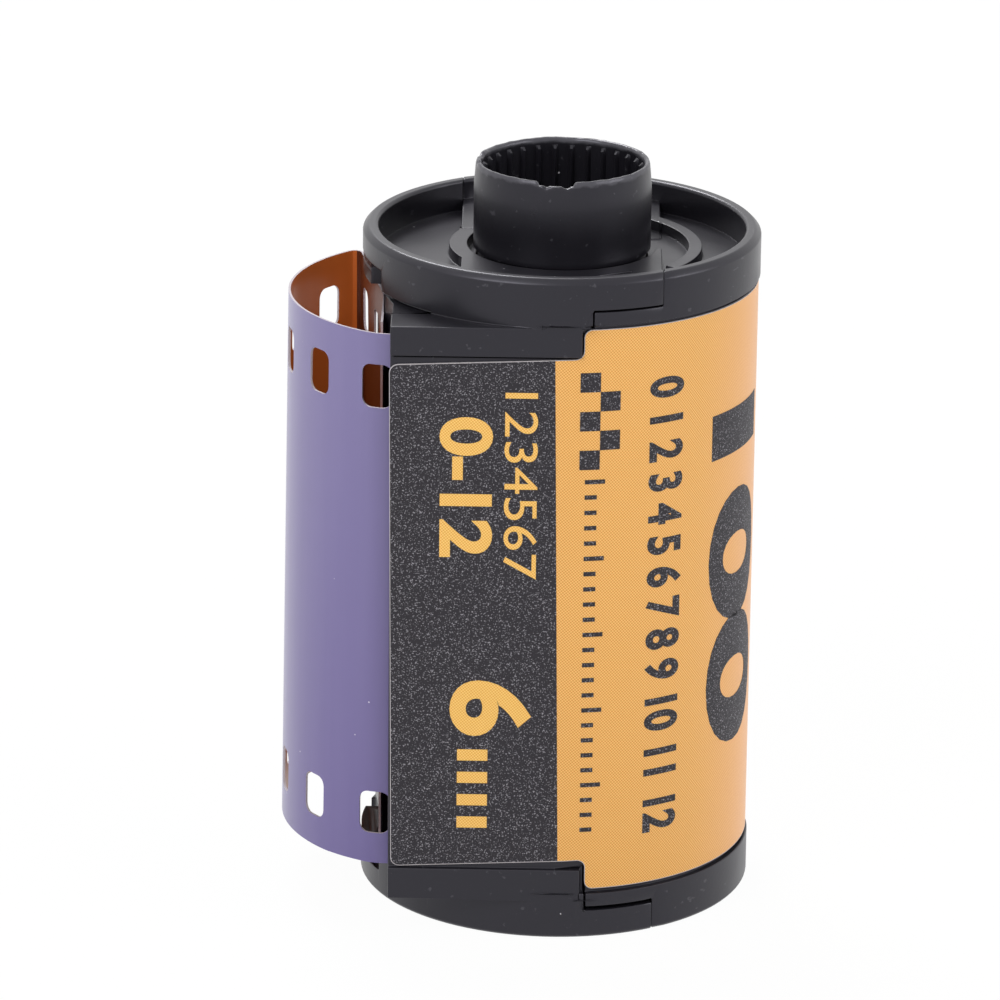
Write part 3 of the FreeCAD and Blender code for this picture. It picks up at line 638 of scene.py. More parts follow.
@dataclass
class Shells:
    """The two moulded half shells, with softly broken edges."""

    edge_round_mm: float = 0.09
    smooth_angle: float = 32.0
    front_seam: float = 6.4
    back_seam: float = -6.25
    seam_shift: float = 0.15
    band_low: float = 2.2
    band_high: float = 41.1
    bridge_stub: tuple[tuple[float, float, float], ...] = ((3.5, 3.3, 41.302), (6.5, 6.3, 42.5))
    bridge_round: float = 7.94
    lip_levels: tuple[Level, ...] = (
        Level(40.45, -0.27), Level(38.5, -0.2), Level(4.8, -0.2), Level(2.85, -0.3), Level(2.0, -0.15, 1.9, 6.3),
    )
    block_end: float = 1.65
    block_end_low: float = 38.2
    block_end_shift: float = -0.3
    groove: tuple[tuple[float, float, float], ...] = ((-10.2, -12.6, 38.14), (1.25, -11.8, 38.29))
    fill_outer: float = 12.46
    fill_span: tuple[float, float] = (-3.9, 2.2)
    fills: tuple[tuple[float, float, float], ...] = (
        (10.7, 40.33, 41.29), (11.52, 41.2, 41.9), (10.7, 2.01, 2.97), (11.52, 1.4, 2.1),
    )

    def build(self, plastic: bpy.types.Material) -> None:
        """Makes both half shells.

        Args:
            plastic: the shells' plastic.
        """
        for node in ("lip_shell", "round_shell"):
            self.half(node, plastic)

    def half(self, node: str, plastic: bpy.types.Material) -> None:
        """Takes a half shell's form, joins its facets and rounds its edges.

        Args:
            node: the half shell's node.
            plastic: the shells' plastic.
        """
        piece = frame["nodes"][node].copy()
        piece.data = piece.data.copy()
        bpy.context.scene.collection.objects.link(piece)
        piece.parent = None
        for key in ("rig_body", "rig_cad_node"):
            del piece[key]
        with editing(piece):
            bpy.ops.mesh.select_all(action="SELECT")
            bpy.ops.mesh.remove_doubles(threshold=0.002 * MM)
            bpy.ops.mesh.dissolve_limited(angle_limit=math.radians(0.1))
            if node == "round_shell":
                self.close_seams(piece)
            else:
                self.lower_lip(piece)
        if node == "round_shell":
            self.trim_bridge(piece)
        apply_modifier(piece, "BEVEL", width=self.edge_round_mm * MM, segments=2, limit_method="ANGLE",
                       angle_limit=math.radians(28), use_clamp_overlap=False, miter_outer="MITER_ARC")
        if node == "lip_shell":
            combine(piece, self.block(self.groove), "DIFFERENCE")
            for inner, low, high in self.fills:
                combine(piece, self.rim_fill(inner, low, high), "UNION")
        piece.data.materials.clear()
        piece.data.materials.append(plastic)
        choose(piece)
        bpy.ops.object.shade_smooth_by_angle(angle=math.radians(self.smooth_angle))
        apply_modifier(piece, "WEIGHTED_NORMAL", keep_sharp=True)
        set_down(piece, node + "_skin", Body.CARTRIDGE, node)

    def block(self, corners: tuple[tuple[float, float, float], ...]) -> bpy.types.Object:
        """Makes a cutting block.

        Args:
            corners: its low and high corner, in millimetres.

        Returns:
            The block.
        """
        clear_selection()
        low, high = (Vector(corner) * MM for corner in corners)
        bpy.ops.mesh.primitive_cube_add(size=1, location=(low + high) / 2, scale=high - low)
        block = bpy.context.object
        bpy.ops.object.transform_apply(location=True, rotation=True, scale=True)
        return block

    def disc(self, radius: float, low: float, high: float) -> bpy.types.Object:
        """Makes a cutting disc on the axis that reaches past two heights.

        Args:
            radius: its radius, in millimetres.
            low: the lower height.
            high: the upper height.

        Returns:
            The disc.
        """
        clear_selection()
        bpy.ops.mesh.primitive_cylinder_add(vertices=240, radius=radius * MM, depth=(high - low) * 2 * MM,
                                            location=(0, 0, (low + high) / 2 * MM))
        return bpy.context.object

    def rim_fill(self, inner: float, low: float, high: float) -> bpy.types.Object:
        """Makes a short stretch of ring that closes a rim beside the film's tail.

        Args:
            inner: its inner radius, in millimetres.
            low: its lower height.
            high: its upper height.

        Returns:
            The stretch of ring.
        """
        near, far = self.fill_span
        fill = self.block(((-13.0, near, low), (-10.0, far, high)))
        combine(fill, self.disc(self.fill_outer, low, high), "INTERSECT")
        combine(fill, self.disc(inner, low, high), "DIFFERENCE")
        return fill

    def close_seams(self, piece: bpy.types.Object) -> None:
        """Draws the lap tongues' ends together, so that a seam is a fine dark line.

        Args:
            piece: the round shell, open in edit mode.
        """
        for place, front, shift in ((self.front_seam, True, -self.seam_shift),
                                    (self.back_seam, False, -self.seam_shift)):
            pick(piece, "verts", lambda vertex: abs(vertex.co.x / MM - place) < 0.02
                 and (vertex.co.y < -3 * MM if front else vertex.co.y > 3 * MM)
                 and not self.band_low < vertex.co.z / MM < self.band_high)
            bpy.ops.transform.translate(value=(shift * MM, 0, 0))

    def lower_lip(self, piece: bpy.types.Object) -> None:
        """Lowers the lip's end blocks and its lower tongue to the heights that the photograph shows.

        Args:
            piece: the lip shell, open in edit mode.
        """
        for level in self.lip_levels:
            pick(piece, "verts", lambda vertex: abs(vertex.co.z / MM - level.height) < 0.01
                 and vertex.co.y / MM < -9.5 and level.left < vertex.co.x / MM < level.right)
            bpy.ops.transform.translate(value=(0, 0, level.shift * MM))
        pick(piece, "verts", lambda vertex: abs(vertex.co.x / MM - self.block_end) < 0.01
             and vertex.co.y / MM < -12.0 and vertex.co.z / MM > self.block_end_low)
        bpy.ops.transform.translate(value=(self.block_end_shift * MM, 0, 0))

    def trim_bridge(self, piece: bpy.types.Object) -> None:
        """Takes the raised bridge's stub away beside the post.

        Args:
            piece: the round shell.
        """
        block = self.block(self.bridge_stub)
        low, high = (corner[2] for corner in self.bridge_stub)
        combine(block, self.disc(self.bridge_round, low, high), "INTERSECT")
        combine(piece, block, "DIFFERENCE")


@dataclass
class Spool:
    """The moulded spool: fork socket with its bar, two flanges, core and the ribbed, worn post."""

    hub_bottom: float = 0.4
    fork_bore: float = 4.9
    fork_step: float = 3.4
    fork_seat: float = 4.4
    fork_floor: float = 9.4
    bar_width: float = 2.0
    bar_height: float = 4.0
    core: float = 5.6
    flange: float = 9.5
    low_flange: float = 3.35
    high_flange: float = 39.95
    flange_thickness: float = 0.7
    neck: float = 5.3
    post: float = 5.57
    post_foot: float = 41.9
    taper_from: float = 45.9
    top: float = 47.45
    mouth: float = 5.43
    bore: float = 5.1
    bore_floor: float = 35.4
    ribs: int = 30
    rib_height: float = 0.27
    rib_top: float = 47.0
    rib_steps: int = 12

    def rings(self) -> list[tuple[float, float]]:
        """Returns the turned outline as radius and height, from the fork socket's floor to the bore's."""
        low_top = self.low_flange + self.flange_thickness
        high_low = self.high_flange - self.flange_thickness
        hidden = [(self.fork_seat, self.fork_floor), (self.fork_seat, self.fork_step),
                  (self.fork_bore, self.fork_step), (self.fork_bore, self.hub_bottom),
                  (self.core, self.hub_bottom), (self.core, self.low_flange), (self.flange, self.low_flange),
                  (self.flange, low_top), (self.core, low_top), (self.core, high_low), (self.flange, high_low),
                  (self.flange, self.high_flange), (self.neck, self.high_flange), (self.neck, self.post_foot),
                  (self.post, self.post_foot)]
        steps = 9
        outside = [(self.post, self.post_foot + (self.taper_from - self.post_foot) * step / steps)
                   for step in range(1, steps + 1)]
        slope = (self.post - self.mouth) / (self.top - self.taper_from)
        outside += [(self.post - slope * rise, self.taper_from + rise) for rise in (0.4, 0.8, 1.1, 1.3)]
        lip = [(self.mouth - 0.02, self.top - 0.06), (self.mouth - 0.08, self.top), (self.bore + 0.14, self.top),
               (self.bore + 0.05, self.top - 0.07), (self.bore, self.top - 0.2)]
        inside = [(self.bore, height) for height in (self.rib_top, self.rib_top - 0.2, 46.3, 45.4, 44.2, 42.6,
                                                     40.5, 38.0, self.bore_floor)]
        return hidden + outside + lip + inside

    def build(self, plastic: bpy.types.Material) -> None:
        """Makes the spool.

        Args:
            plastic: the spool's plastic.
        """
        rings = self.rings()
        clear_selection()
        radius, height = rings[0]
        bpy.ops.mesh.primitive_circle_add(vertices=self.ribs * self.rib_steps, radius=radius * MM,
                                          location=(0, 0, height * MM))
        piece = bpy.context.object
        with editing(piece):
            bpy.ops.mesh.select_all(action="SELECT")
            for (wide, low), (radius, height) in zip(rings, rings[1:]):
                bpy.ops.mesh.extrude_region_move(TRANSFORM_OT_translate={"value": (0, 0, (height - low) * MM)})
                growth = radius / wide
                if growth != 1:
                    bpy.ops.transform.resize(value=(growth, growth, 1), center_override=(0, 0, height * MM))
            bpy.ops.mesh.edge_face_add()
            first = rings[0]
            pick(piece, "edges", lambda edge: edge.is_boundary and abs(edge.verts[0].co.z - 0) < 1e-9
                 and abs(edge.verts[0].co.xy.length - first[0] * MM) < 1e-6)
            bpy.ops.mesh.edge_face_add()
        self.raise_ribs(piece)
        self.wear_mouth(piece)
        self.add_bar(piece)
        with editing(piece):
            bpy.ops.mesh.select_all(action="SELECT")
            bpy.ops.mesh.normals_make_consistent(inside=False)
        piece.data.materials.append(plastic)
        choose(piece)
        bpy.ops.object.shade_smooth_by_angle(angle=math.radians(38))
        set_down(piece, "ribbed_spool", Body.SPOOL, "spool")

    def raise_ribs(self, piece: bpy.types.Object) -> None:
        """Draws every twelfth stretch of the bore's wall inwards as a rib, below its rounded top."""
        step = 2 * math.pi / self.ribs
        for vertex in piece.data.vertices:
            place = piece.matrix_world @ vertex.co
            height = place.z / MM
            radius = place.xy.length / MM
            if abs(radius - self.bore) > 0.01 or not self.bore_floor - 0.1 < height < self.rib_top - 0.1:
                continue
            angle = math.atan2(place.y, place.x)
            off = abs((angle + step / 2) % step - step / 2) * self.bore
            if off < 0.14:
                crest = 1.0 if off < 0.05 else 0.8
                shrink = 1 - self.rib_height * crest / self.bore
                vertex.co.x *= shrink
                vertex.co.y *= shrink

    def wear_mouth(self, piece: bpy.types.Object) -> None:
        """Chips and ruffles the post's mouth: a notch at its front, nicks at its left and a wavy burr."""
        for vertex in piece.data.vertices:
            place = piece.matrix_world @ vertex.co
            height = place.z / MM
            if height < self.top - 0.75:
                continue
            angle = math.degrees(math.atan2(place.y, place.x))
            near = min(1.0, (height - self.top + 0.75) / 0.75)
            ripple = noise.noise(place * 500) * 0.05 + noise.noise(place * 2600) * 0.03
            notch = 0.26 * min(1.0, max(0.0, 13 - abs(angle + 94.5)) / 1.5) * (1 + 4 * ripple)
            notch += 0.13 * max(0.0, 1 - ((angle + 87.5) / 3.2) ** 2) + 0.08 * max(0.0, 1 - ((angle + 101) / 2) ** 2)
            nick = 0.16 * max(0.0, 1 - ((angle - 168) / 6) ** 2) + 0.1 * max(0.0, 1 - ((angle + 172) / 4) ** 2)
            vertex.co.z += (ripple - 0.03 - notch - nick) * near * MM
            swell = 1 + noise.noise(place * 1500 + Vector((3, 1, 2))) * 0.006 * near
            vertex.co.x *= swell
            vertex.co.y *= swell

    def add_bar(self, piece: bpy.types.Object) -> None:
        """Adds the fork socket's cross bar."""
        clear_selection()
        middle = self.fork_step + self.bar_height / 2
        bpy.ops.mesh.primitive_cube_add(size=1, location=(0, 0, middle * MM),
                                        scale=(self.fork_seat * 2.05 * MM, self.bar_width * MM, self.bar_height * MM))
        bar = bpy.context.object
        bpy.ops.object.transform_apply(location=True, rotation=True, scale=True)
        apply_modifier(bar, "BEVEL", width=0.2 * MM, segments=2)
        clear_selection()
        bar.select_set(True)
        piece.select_set(True)
        bpy.context.view_layer.objects.active = piece
        bpy.ops.object.join()


@dataclass
class Leader:
    """The film that leaves the light trap, loops round the open side and comes back to the flat wall."""

    width: float = 34.975
    thickness: float = 0.14
    bottom: float = 3.94
    roll_side: tuple[float, float] = (2.79, -7.66)
    trap_line: float = 9.86
    trap_corner: float = 3.25
    trap_bend: float = 8.0
    loop_centre: float = 5.95
    loop_radius: float = 11.15
    mouth_bend: float = 3.0
    fold: tuple[float, float] = (-13.3, 10.6)
    fold_bend: float = 0.5
    tail_top: tuple[float, float] = (-11.74, 2.1)
    tail_line: float = 11.07
    tail_bend: float = 9.0
    tail_end: float = 7.35
    flare: float = 0.44
    tail_left: float = 13.05
    tail_front: float = 7.6
    flare_from: float = 12.0
    flare_to: float = 45.0
    flare_run: float = 6.0
    step: float = 0.3
    hole_start: float = 4.95
    hole_pitch: float = 4.75
    hole_length: float = 1.981
    hole_height: float = 2.794
    hole_edge: float = 2.01
    hole_round: float = 0.6

    def path(self) -> PlanPath:
        """Returns the film's centre line seen from above."""
        start = Vector(self.roll_side)
        corner = Vector((-self.trap_corner, -self.trap_line))
        centre = Vector((-self.loop_centre, 0))
        approach = corner - start
        first = math.atan2(approach.y, approach.x)
        path = PlanPath(start, first)
        trap_turn = first % (2 * math.pi) - math.pi
        reach = self.trap_bend * math.tan(trap_turn / 2)
        path.run(approach.length - reach)
        path.turn(self.trap_bend, trap_turn)
        inner = self.loop_radius - self.mouth_bend
        drop = self.trap_line - self.mouth_bend
        mouth = centre + Vector((-math.sqrt(inner ** 2 - drop ** 2), -drop))
        path.run(path.tip.x - mouth.x)
        arrive = mouth - centre
        mouth_angle = math.atan2(arrive.y, arrive.x) % (2 * math.pi)
        path.turn(self.mouth_bend, math.radians(270) - mouth_angle)
        tail_way = (Vector(self.tail_top) - Vector(self.fold)).normalized()
        crease = self.crease_centre(centre, tail_way)
        leave = crease - centre
        crease_angle = math.atan2(leave.y, leave.x)
        path.turn(self.loop_radius, mouth_angle - crease_angle)
        out = left_of(tail_way)
        path.turn(self.fold_bend, crease_angle - math.atan2(out.y, out.x))
        last_turn = math.atan2(tail_way.y, tail_way.x) + math.pi / 2
        down = (path.tip.x + self.tail_line) / -tail_way.x
        tail_reach = self.tail_bend * math.tan(last_turn / 2)
        path.run(down - tail_reach)
        path.turn(self.tail_bend, last_turn)
        path.run(path.tip.y + self.tail_end)
        return path

    def crease_centre(self, centre: Vector, way: Vector) -> Vector:
        """Finds the centre of the crease, which is tangent to the tail's line and to the loop from inside.

        Args:
            centre: the loop's centre.
            way: the tail's direction.

        Returns:
            The crease's centre.
        """
        offset = Vector(self.fold) - left_of(way) * self.fold_bend - centre
        along = offset.dot(way)
        reach = math.sqrt(along ** 2 - offset.dot(offset) + (self.loop_radius - self.fold_bend) ** 2)
        return centre + offset - way * (along + reach)

    def lean(self, along: float, height: float) -> float:
        """Returns how far the open loop stands out towards its foot, in millimetres."""
        opening = min(1.0, max(0.0, (along - self.flare_from) / self.flare_run))
        closing = min(1.0, max(0.0, (self.flare_to - along) / self.flare_run))
        return self.flare * opening * closing * (1 - (height - self.bottom) / self.width)

    def build(self, outside: bpy.types.Material, inside: bpy.types.Material, cut: bpy.types.Material,
              tail: bpy.types.Material) -> None:
        """Makes the leader.

        Args:
            outside: the finish of the loop's outer face.
            inside: the finish of the loop's inner face, whose painted glow stands in for light coming through the
                film.
            cut: the finish of slit and punched edges.
            tail: the painted-shade copy of the inner face's finish, for the part in front of the black shell.
        """
        path = self.path()
        clear_selection()
        bpy.ops.mesh.primitive_grid_add(x_subdivisions=round(path.length / self.step), y_subdivisions=2, size=1)
        piece = bpy.context.object
        piece.scale = (path.length * MM, self.width * MM, 1)
        piece.location = (path.length / 2 * MM, (self.bottom + self.width / 2) * MM, 0)
        choose(piece)
        bpy.ops.object.transform_apply(location=True, rotation=True, scale=True)
        wrap(piece, path, self.lean)
        for finish in (inside, outside, cut, tail):
            piece.data.materials.append(finish)
        apply_modifier(piece, "SOLIDIFY", thickness=self.thickness * MM, offset=0, material_offset=1,
                       material_offset_rim=2)
        # Painted shade: the inner face's faces on the tail, in front of the black shell, take the darker copy of the
        # amber finish.
        for face in piece.data.polygons:
            place = face.center / MM
            if not face.material_index and place.x > -self.tail_left and place.y > -self.tail_front:
                face.material_index = 3
        punches = self.punches(path, cut)
        apply_modifier(piece, "BOOLEAN", operation="DIFFERENCE", object=punches, solver="EXACT",
                       material_mode="TRANSFER")
        bpy.data.objects.remove(punches)
        choose(piece)
        bpy.ops.object.shade_smooth_by_angle(angle=math.radians(30))
        set_down(piece, "curled_leader", Body.CARTRIDGE, "film_leader")

    def punches(self, path: PlanPath, cut: bpy.types.Material) -> bpy.types.Object:
        """Makes the bars that punch the perforations.

        Args:
            path: the film's centre line.
            cut: the finish that the punched edges take.

        Returns:
            All bars as one object.
        """
        bars = []
        rows = (self.hole_edge, self.width - self.hole_edge - self.hole_height)
        distance = self.hole_start
        while distance + self.hole_length < path.length:
            point, heading = path.at(distance)
            for row in rows:
                height = self.bottom + row + self.hole_height / 2
                out = left_of(Vector((math.cos(heading), math.sin(heading)))) * self.lean(distance, height)
                bars.append(self.punch(Vector((point.x + out.x, point.y + out.y, height)) * MM, heading))
            distance += self.hole_pitch
        clear_selection()
        for bar in bars:
            bar.select_set(True)
        bpy.context.view_layer.objects.active = bars[0]
        bpy.ops.object.join()
        bars[0].data.materials.append(cut)
        return bars[0]

    def punch(self, place: Vector, heading: float) -> bpy.types.Object:
        """Makes one round-cornered bar across the film.

        Args:
            place: the perforation's middle, in metres.
            heading: the film's direction there, in radians.

        Returns:
            The bar.
        """
        clear_selection()
        bpy.ops.mesh.primitive_cube_add(size=1)
        bar = bpy.context.object
        bar.scale = (self.hole_length * MM, MM, self.hole_height * MM)
        bpy.ops.object.transform_apply(location=True, rotation=True, scale=True)
        with editing(bar):
            pick(bar, "edges", lambda edge: abs((edge.verts[0].co - edge.verts[1].co).normalized().y) > 0.9)
            bpy.ops.mesh.bevel(offset=self.hole_round * MM, segments=6, affect="EDGES")
        bar.matrix_world = Matrix.Translation(place) @ Matrix.Rotation(heading, 4, "Z")
        choose(bar)
        bpy.ops.object.transform_apply(location=True, rotation=True, scale=True)
        return bar


@dataclass
class Label:
    """The wrap-round paper label with its colour fields."""

    wall: float = 12.15
    stand_off: float = 0.12
    left: float = 10.35
    thickness: float = 0.13
    bottom: float = 3.25
    top: float = 40.05
    left_edge: float = 1.2
    left_slant: float = 0.13
    step_top: float = 1.45
    step_bottom: float = 1.95
    flat_bottom_left: float = 4.7
    flat_bottom_step: float = 5.2
    flat_top_left: float = 37.7
    flat_top_step: float = 38.2
    bare_edge: float = 0.04
    end_angle: float = 158.0
    corner: float = 0.55
    step_corner: float = 0.5
    line_top: float = -0.33
    line_bottom: float = 0.3
    rear_angle: float = 118.0

    def path(self) -> PlanPath:
        """Returns the label's inner face seen from above."""
        path = PlanPath(Vector((-self.left, -self.wall)), 0.0)
        path.run(self.left)
        path.run(self.round * math.radians(self.end_angle + 90), self.round)
        return path

    @property
    def round(self) -> float:
        """The radius of the label's round part, which stands off the wall at the side."""
        return self.wall + self.stand_off

    def plan_x(self, x: float) -> float:
        """Returns the distance along the label of a point at x on its front."""
        return self.left + (x if x < 0 else self.round * math.asin(x / self.round))

    def outline(self) -> bpy.types.Object:
        """Returns the label's flat blank, cut from a rectangle with its two steps and rounded corners."""
        path = self.path()
        steps = {self.plan_x(self.step_top), self.plan_x(self.step_bottom)}
        clear_selection()
        bpy.ops.mesh.primitive_plane_add(size=1)
        piece = bpy.context.object
        piece.scale = (path.length * MM, (self.top - self.bottom) * MM, 1)
        piece.location = (path.length / 2 * MM, (self.bottom + self.top) / 2 * MM, 0)
        bpy.ops.object.transform_apply(location=True, rotation=True, scale=True)
        with editing(piece):
            self.cut(piece, (0, (self.bottom + self.top) / 2), (0, 1))
            for step in steps:
                self.cut(piece, (step, 0), (1, 0))
            for at_left, at_step in ((self.flat_bottom_left, self.flat_bottom_step),
                                     (self.flat_top_left, self.flat_top_step)):
                self.cut(piece, (0, at_left), (at_left - at_step, max(steps)))
            pick(piece, "faces", lambda face: self.is_offcut(face.calc_center_median() / MM))
            bpy.ops.mesh.delete(type="FACE")
            bpy.ops.mesh.select_all(action="SELECT")
            bpy.ops.mesh.dissolve_limited(angle_limit=math.radians(1))
            pick(piece, "verts", lambda vertex: vertex.co.x < 0.1 * MM)
            bpy.ops.mesh.bevel(offset=self.corner * MM, segments=6, affect="VERTICES")
            pick(piece, "verts", lambda vertex: min(abs(vertex.co.x / MM - step) for step in steps) < 0.05)
            bpy.ops.mesh.bevel(offset=self.step_corner * MM, segments=5, affect="VERTICES")
            bpy.ops.mesh.select_mode(type="FACE")
            bpy.ops.mesh.select_all(action="SELECT")
            bpy.ops.mesh.inset(thickness=self.bare_edge * MM, use_boundary=True)
        return piece

    def cut(self, piece: bpy.types.Object, place: tuple[float, float], across: tuple[float, float]) -> None:
        """Cuts the open flat sheet along a line.

        Args:
            piece: the sheet, open in edit mode.
            place: a point on the line, in millimetres.
            across: the line's normal.
        """
        bpy.ops.mesh.select_all(action="SELECT")
        normal = Vector((*across, 0)).normalized()
        bpy.ops.mesh.bisect(plane_co=(place[0] * MM, place[1] * MM, 0), plane_no=normal, threshold=CUT_TOLERANCE)

    def is_offcut(self, middle: Vector) -> bool:
        """Returns whether a face of the cut rectangle lies outside the blank, left of its step."""
        share = middle.x / self.plan_x(self.step_bottom)
        low = self.flat_bottom_left + (self.flat_bottom_step - self.flat_bottom_left) * share
        high = self.flat_top_left + (self.flat_top_step - self.flat_top_left) * share
        if middle.y < low:
            return middle.x < self.plan_x(self.step_bottom)
        return middle.y > high and middle.x < self.plan_x(self.step_top)

    def build(self, dark: bpy.types.Material, yellow: bpy.types.Material, pale: bpy.types.Material,
              edge: bpy.types.Material) -> None:
        """Makes the label.

        Args:
            dark: the ink of the front's left field.
            yellow: the ink of the front's right field.
            pale: the finish of the rear field.
            edge: the paper's cut edge.
        """
        path = self.path()
        piece = self.outline()
        for finish in (dark, yellow, pale, edge):
            piece.data.materials.append(finish)
        for face in piece.data.polygons:
            face.material_index = 0 if face.select else 3
        tilt = (self.line_bottom - self.line_top) / (self.top - self.bottom)
        line = self.left + (self.line_top + self.line_bottom) / 2
        rear = self.left + self.round * math.radians(self.rear_angle + 90)
        middle = (self.top + self.bottom) / 2
        with editing(piece):
            self.cut(piece, (line, middle), (1, tilt))
            self.cut(piece, (rear, 0), (1, 0))
        places = [self.left + 0.4 * number for number in range(int((path.length - self.left) / 0.4) + 1)]
        slice_along(piece, places)
        add_plan_map(piece)
        for vertex in piece.data.vertices:
            if vertex.co.x < self.left_edge * MM:
                vertex.co.x += self.left_slant * (middle * MM - vertex.co.y) / (middle - self.bottom)
        for face in piece.data.polygons:
            along = face.center.x / MM + (face.center.y / MM - middle) * tilt
            if not face.material_index:
                face.material_index = 0 if along < line else (1 if along < rear else 2)
        wrap(piece, path)
        apply_modifier(piece, "SOLIDIFY", thickness=self.thickness * MM, offset=1, material_offset_rim=3)
        choose(piece)
        bpy.ops.object.shade_smooth_by_angle(angle=math.radians(30))
        set_down(piece, "paper_label", Body.CARTRIDGE, "label")


@dataclass(frozen=True)
class Row:
    """One row of plain numbers that reads downwards, placed by its box on the label's front.

    The box is left, right, top and bottom: the first two as x across the front, the others as heights.
    """

    text: str
    left: float
    right: float
    top: float
    bottom: float
    weight: float = 0.0


@dataclass
class Print:
    """Plain numbers, a tick scale and squares in place of the label's wording."""

    label: Label
    lift: float = 0.135
    ink: float = 0.02
    light_rows: tuple[Row, ...] = (
        Row("1234567", -3.35, -1.3, 36.0, 23.9),
        Row("0-12", -7.35, -4.05, 34.4, 25.3, 0.03),
        Row("6", -6.6, -1.5, 17.2, 13.5, 0.03),
    )
    dark_rows: tuple[Row, ...] = (
        Row("0 1 2 3 4 5 6 7 8 9 10 11 12", 5.45, 7.6, 36.6, 6.6, 0.035),
        Row("100", 9.35, 12.12, 33.2, 10.8, 0.04),
    )

    def build(self, light: bpy.types.Material, dark: bpy.types.Material) -> None:
        """Makes all the print as two pieces.

        Args:
            light: the yellow ink.
            dark: the black ink.
        """
        light_parts = [self.numbers(row) for row in self.light_rows] + self.pips()
        dark_parts = [self.numbers(row) for row in self.dark_rows] + self.ticks() + self.squares()
        self.finish("label_print_yellow", light_parts, light)
        self.finish("label_print_black", dark_parts, dark)

    def numbers(self, row: Row) -> bpy.types.Object:
        """Makes one row of numbers in the flat plan.

        Args:
            row: the numbers and their box.

        Returns:
            The flat numbers.
        """
        clear_selection()
        bpy.ops.object.text_add()
        piece = bpy.context.object
        piece.data.body = row.text
        piece.data.resolution_u = 6
        piece.data.offset = row.weight
        bpy.ops.object.convert(target="MESH")
        piece = bpy.context.object
        corners = [vertex.co for vertex in piece.data.vertices]
        low = Vector((min(c.x for c in corners), min(c.y for c in corners)))
        high = Vector((max(c.x for c in corners), max(c.y for c in corners)))
        left, right = self.label.plan_x(row.left), self.label.plan_x(row.right)
        for vertex in piece.data.vertices:
            down = (vertex.co.x - low.x) / (high.x - low.x)
            across = (vertex.co.y - low.y) / (high.y - low.y)
            vertex.co = Vector((left + (right - left) * across, row.top - (row.top - row.bottom) * down, 0)) * MM
        return piece

    def patch(self, left: float, right: float, low: float, high: float) -> bpy.types.Object:
        """Makes one flat rectangle of ink.

        Args:
            left: its left side, as a distance along the label.
            right: its right side.
            low: its lower side's height.
            high: its upper side's height.

        Returns:
            The rectangle.
        """
        clear_selection()
        bpy.ops.mesh.primitive_plane_add(size=1)
        piece = bpy.context.object
        piece.scale = ((right - left) * MM, (high - low) * MM, 1)
        piece.location = ((left + right) / 2 * MM, (low + high) / 2 * MM, 0)
        bpy.ops.object.transform_apply(location=True, rotation=True, scale=True)
        return piece

    def pips(self) -> list[bpy.types.Object]:
        """Returns the four short bars under the large number."""
        left = self.label.plan_x(-6.1)
        return [self.patch(left, left + 1.9, high - 0.75, high) for high in (12.6, 11.1, 9.6, 8.1)]

    def ticks(self) -> list[bpy.types.Object]:
        """Returns a scale of fine ticks, a millimetre apart, every fifth one longer."""
        left = self.label.plan_x(1.6)
        parts = []
        for number in range(24):
            length = 1.25 if number % 5 == 0 else 0.75
            high = 30.4 - number * 1.0
            parts.append(self.patch(left, left + length, high - 0.28, high))
        return parts

    def squares(self) -> list[bpy.types.Object]:
        """Returns a chequer of squares two wide and five high."""
        left = self.label.plan_x(1.25)
        side = 1.25
        parts = []
        for number in range(5):
            column = left + side * (number % 2)
            high = 37.3 - number * side
            parts.append(self.patch(column, column + side, high - side, high))
        return parts

    def finish(self, name: str, parts: list[bpy.types.Object], ink: bpy.types.Material) -> None:
        """Joins flat parts, bends them onto the label and gives them the ink's thickness.

        Args:
            name: the piece's name.
            parts: the flat parts.
            ink: their finish.
        """
        clear_selection()
        for part in parts:
            part.select_set(True)
        bpy.context.view_layer.objects.active = parts[0]
        bpy.ops.object.join()
        piece = parts[0]
        far = self.label.plan_x(12.12)
        start = self.label.left
        slice_along(piece, [start + 0.3 * number for number in range(int((far - start) / 0.3) + 1)])
        add_plan_map(piece)
        for vertex in piece.data.vertices:
            vertex.co.z = self.lift * MM
        piece.data.materials.clear()
        piece.data.materials.append(ink)
        wrap(piece, self.label.path())
        apply_modifier(piece, "SOLIDIFY", thickness=self.ink * MM, offset=0)
        choose(piece)
        bpy.ops.object.shade_smooth_by_angle(angle=math.radians(30))
        set_down(piece, name, Body.CARTRIDGE)


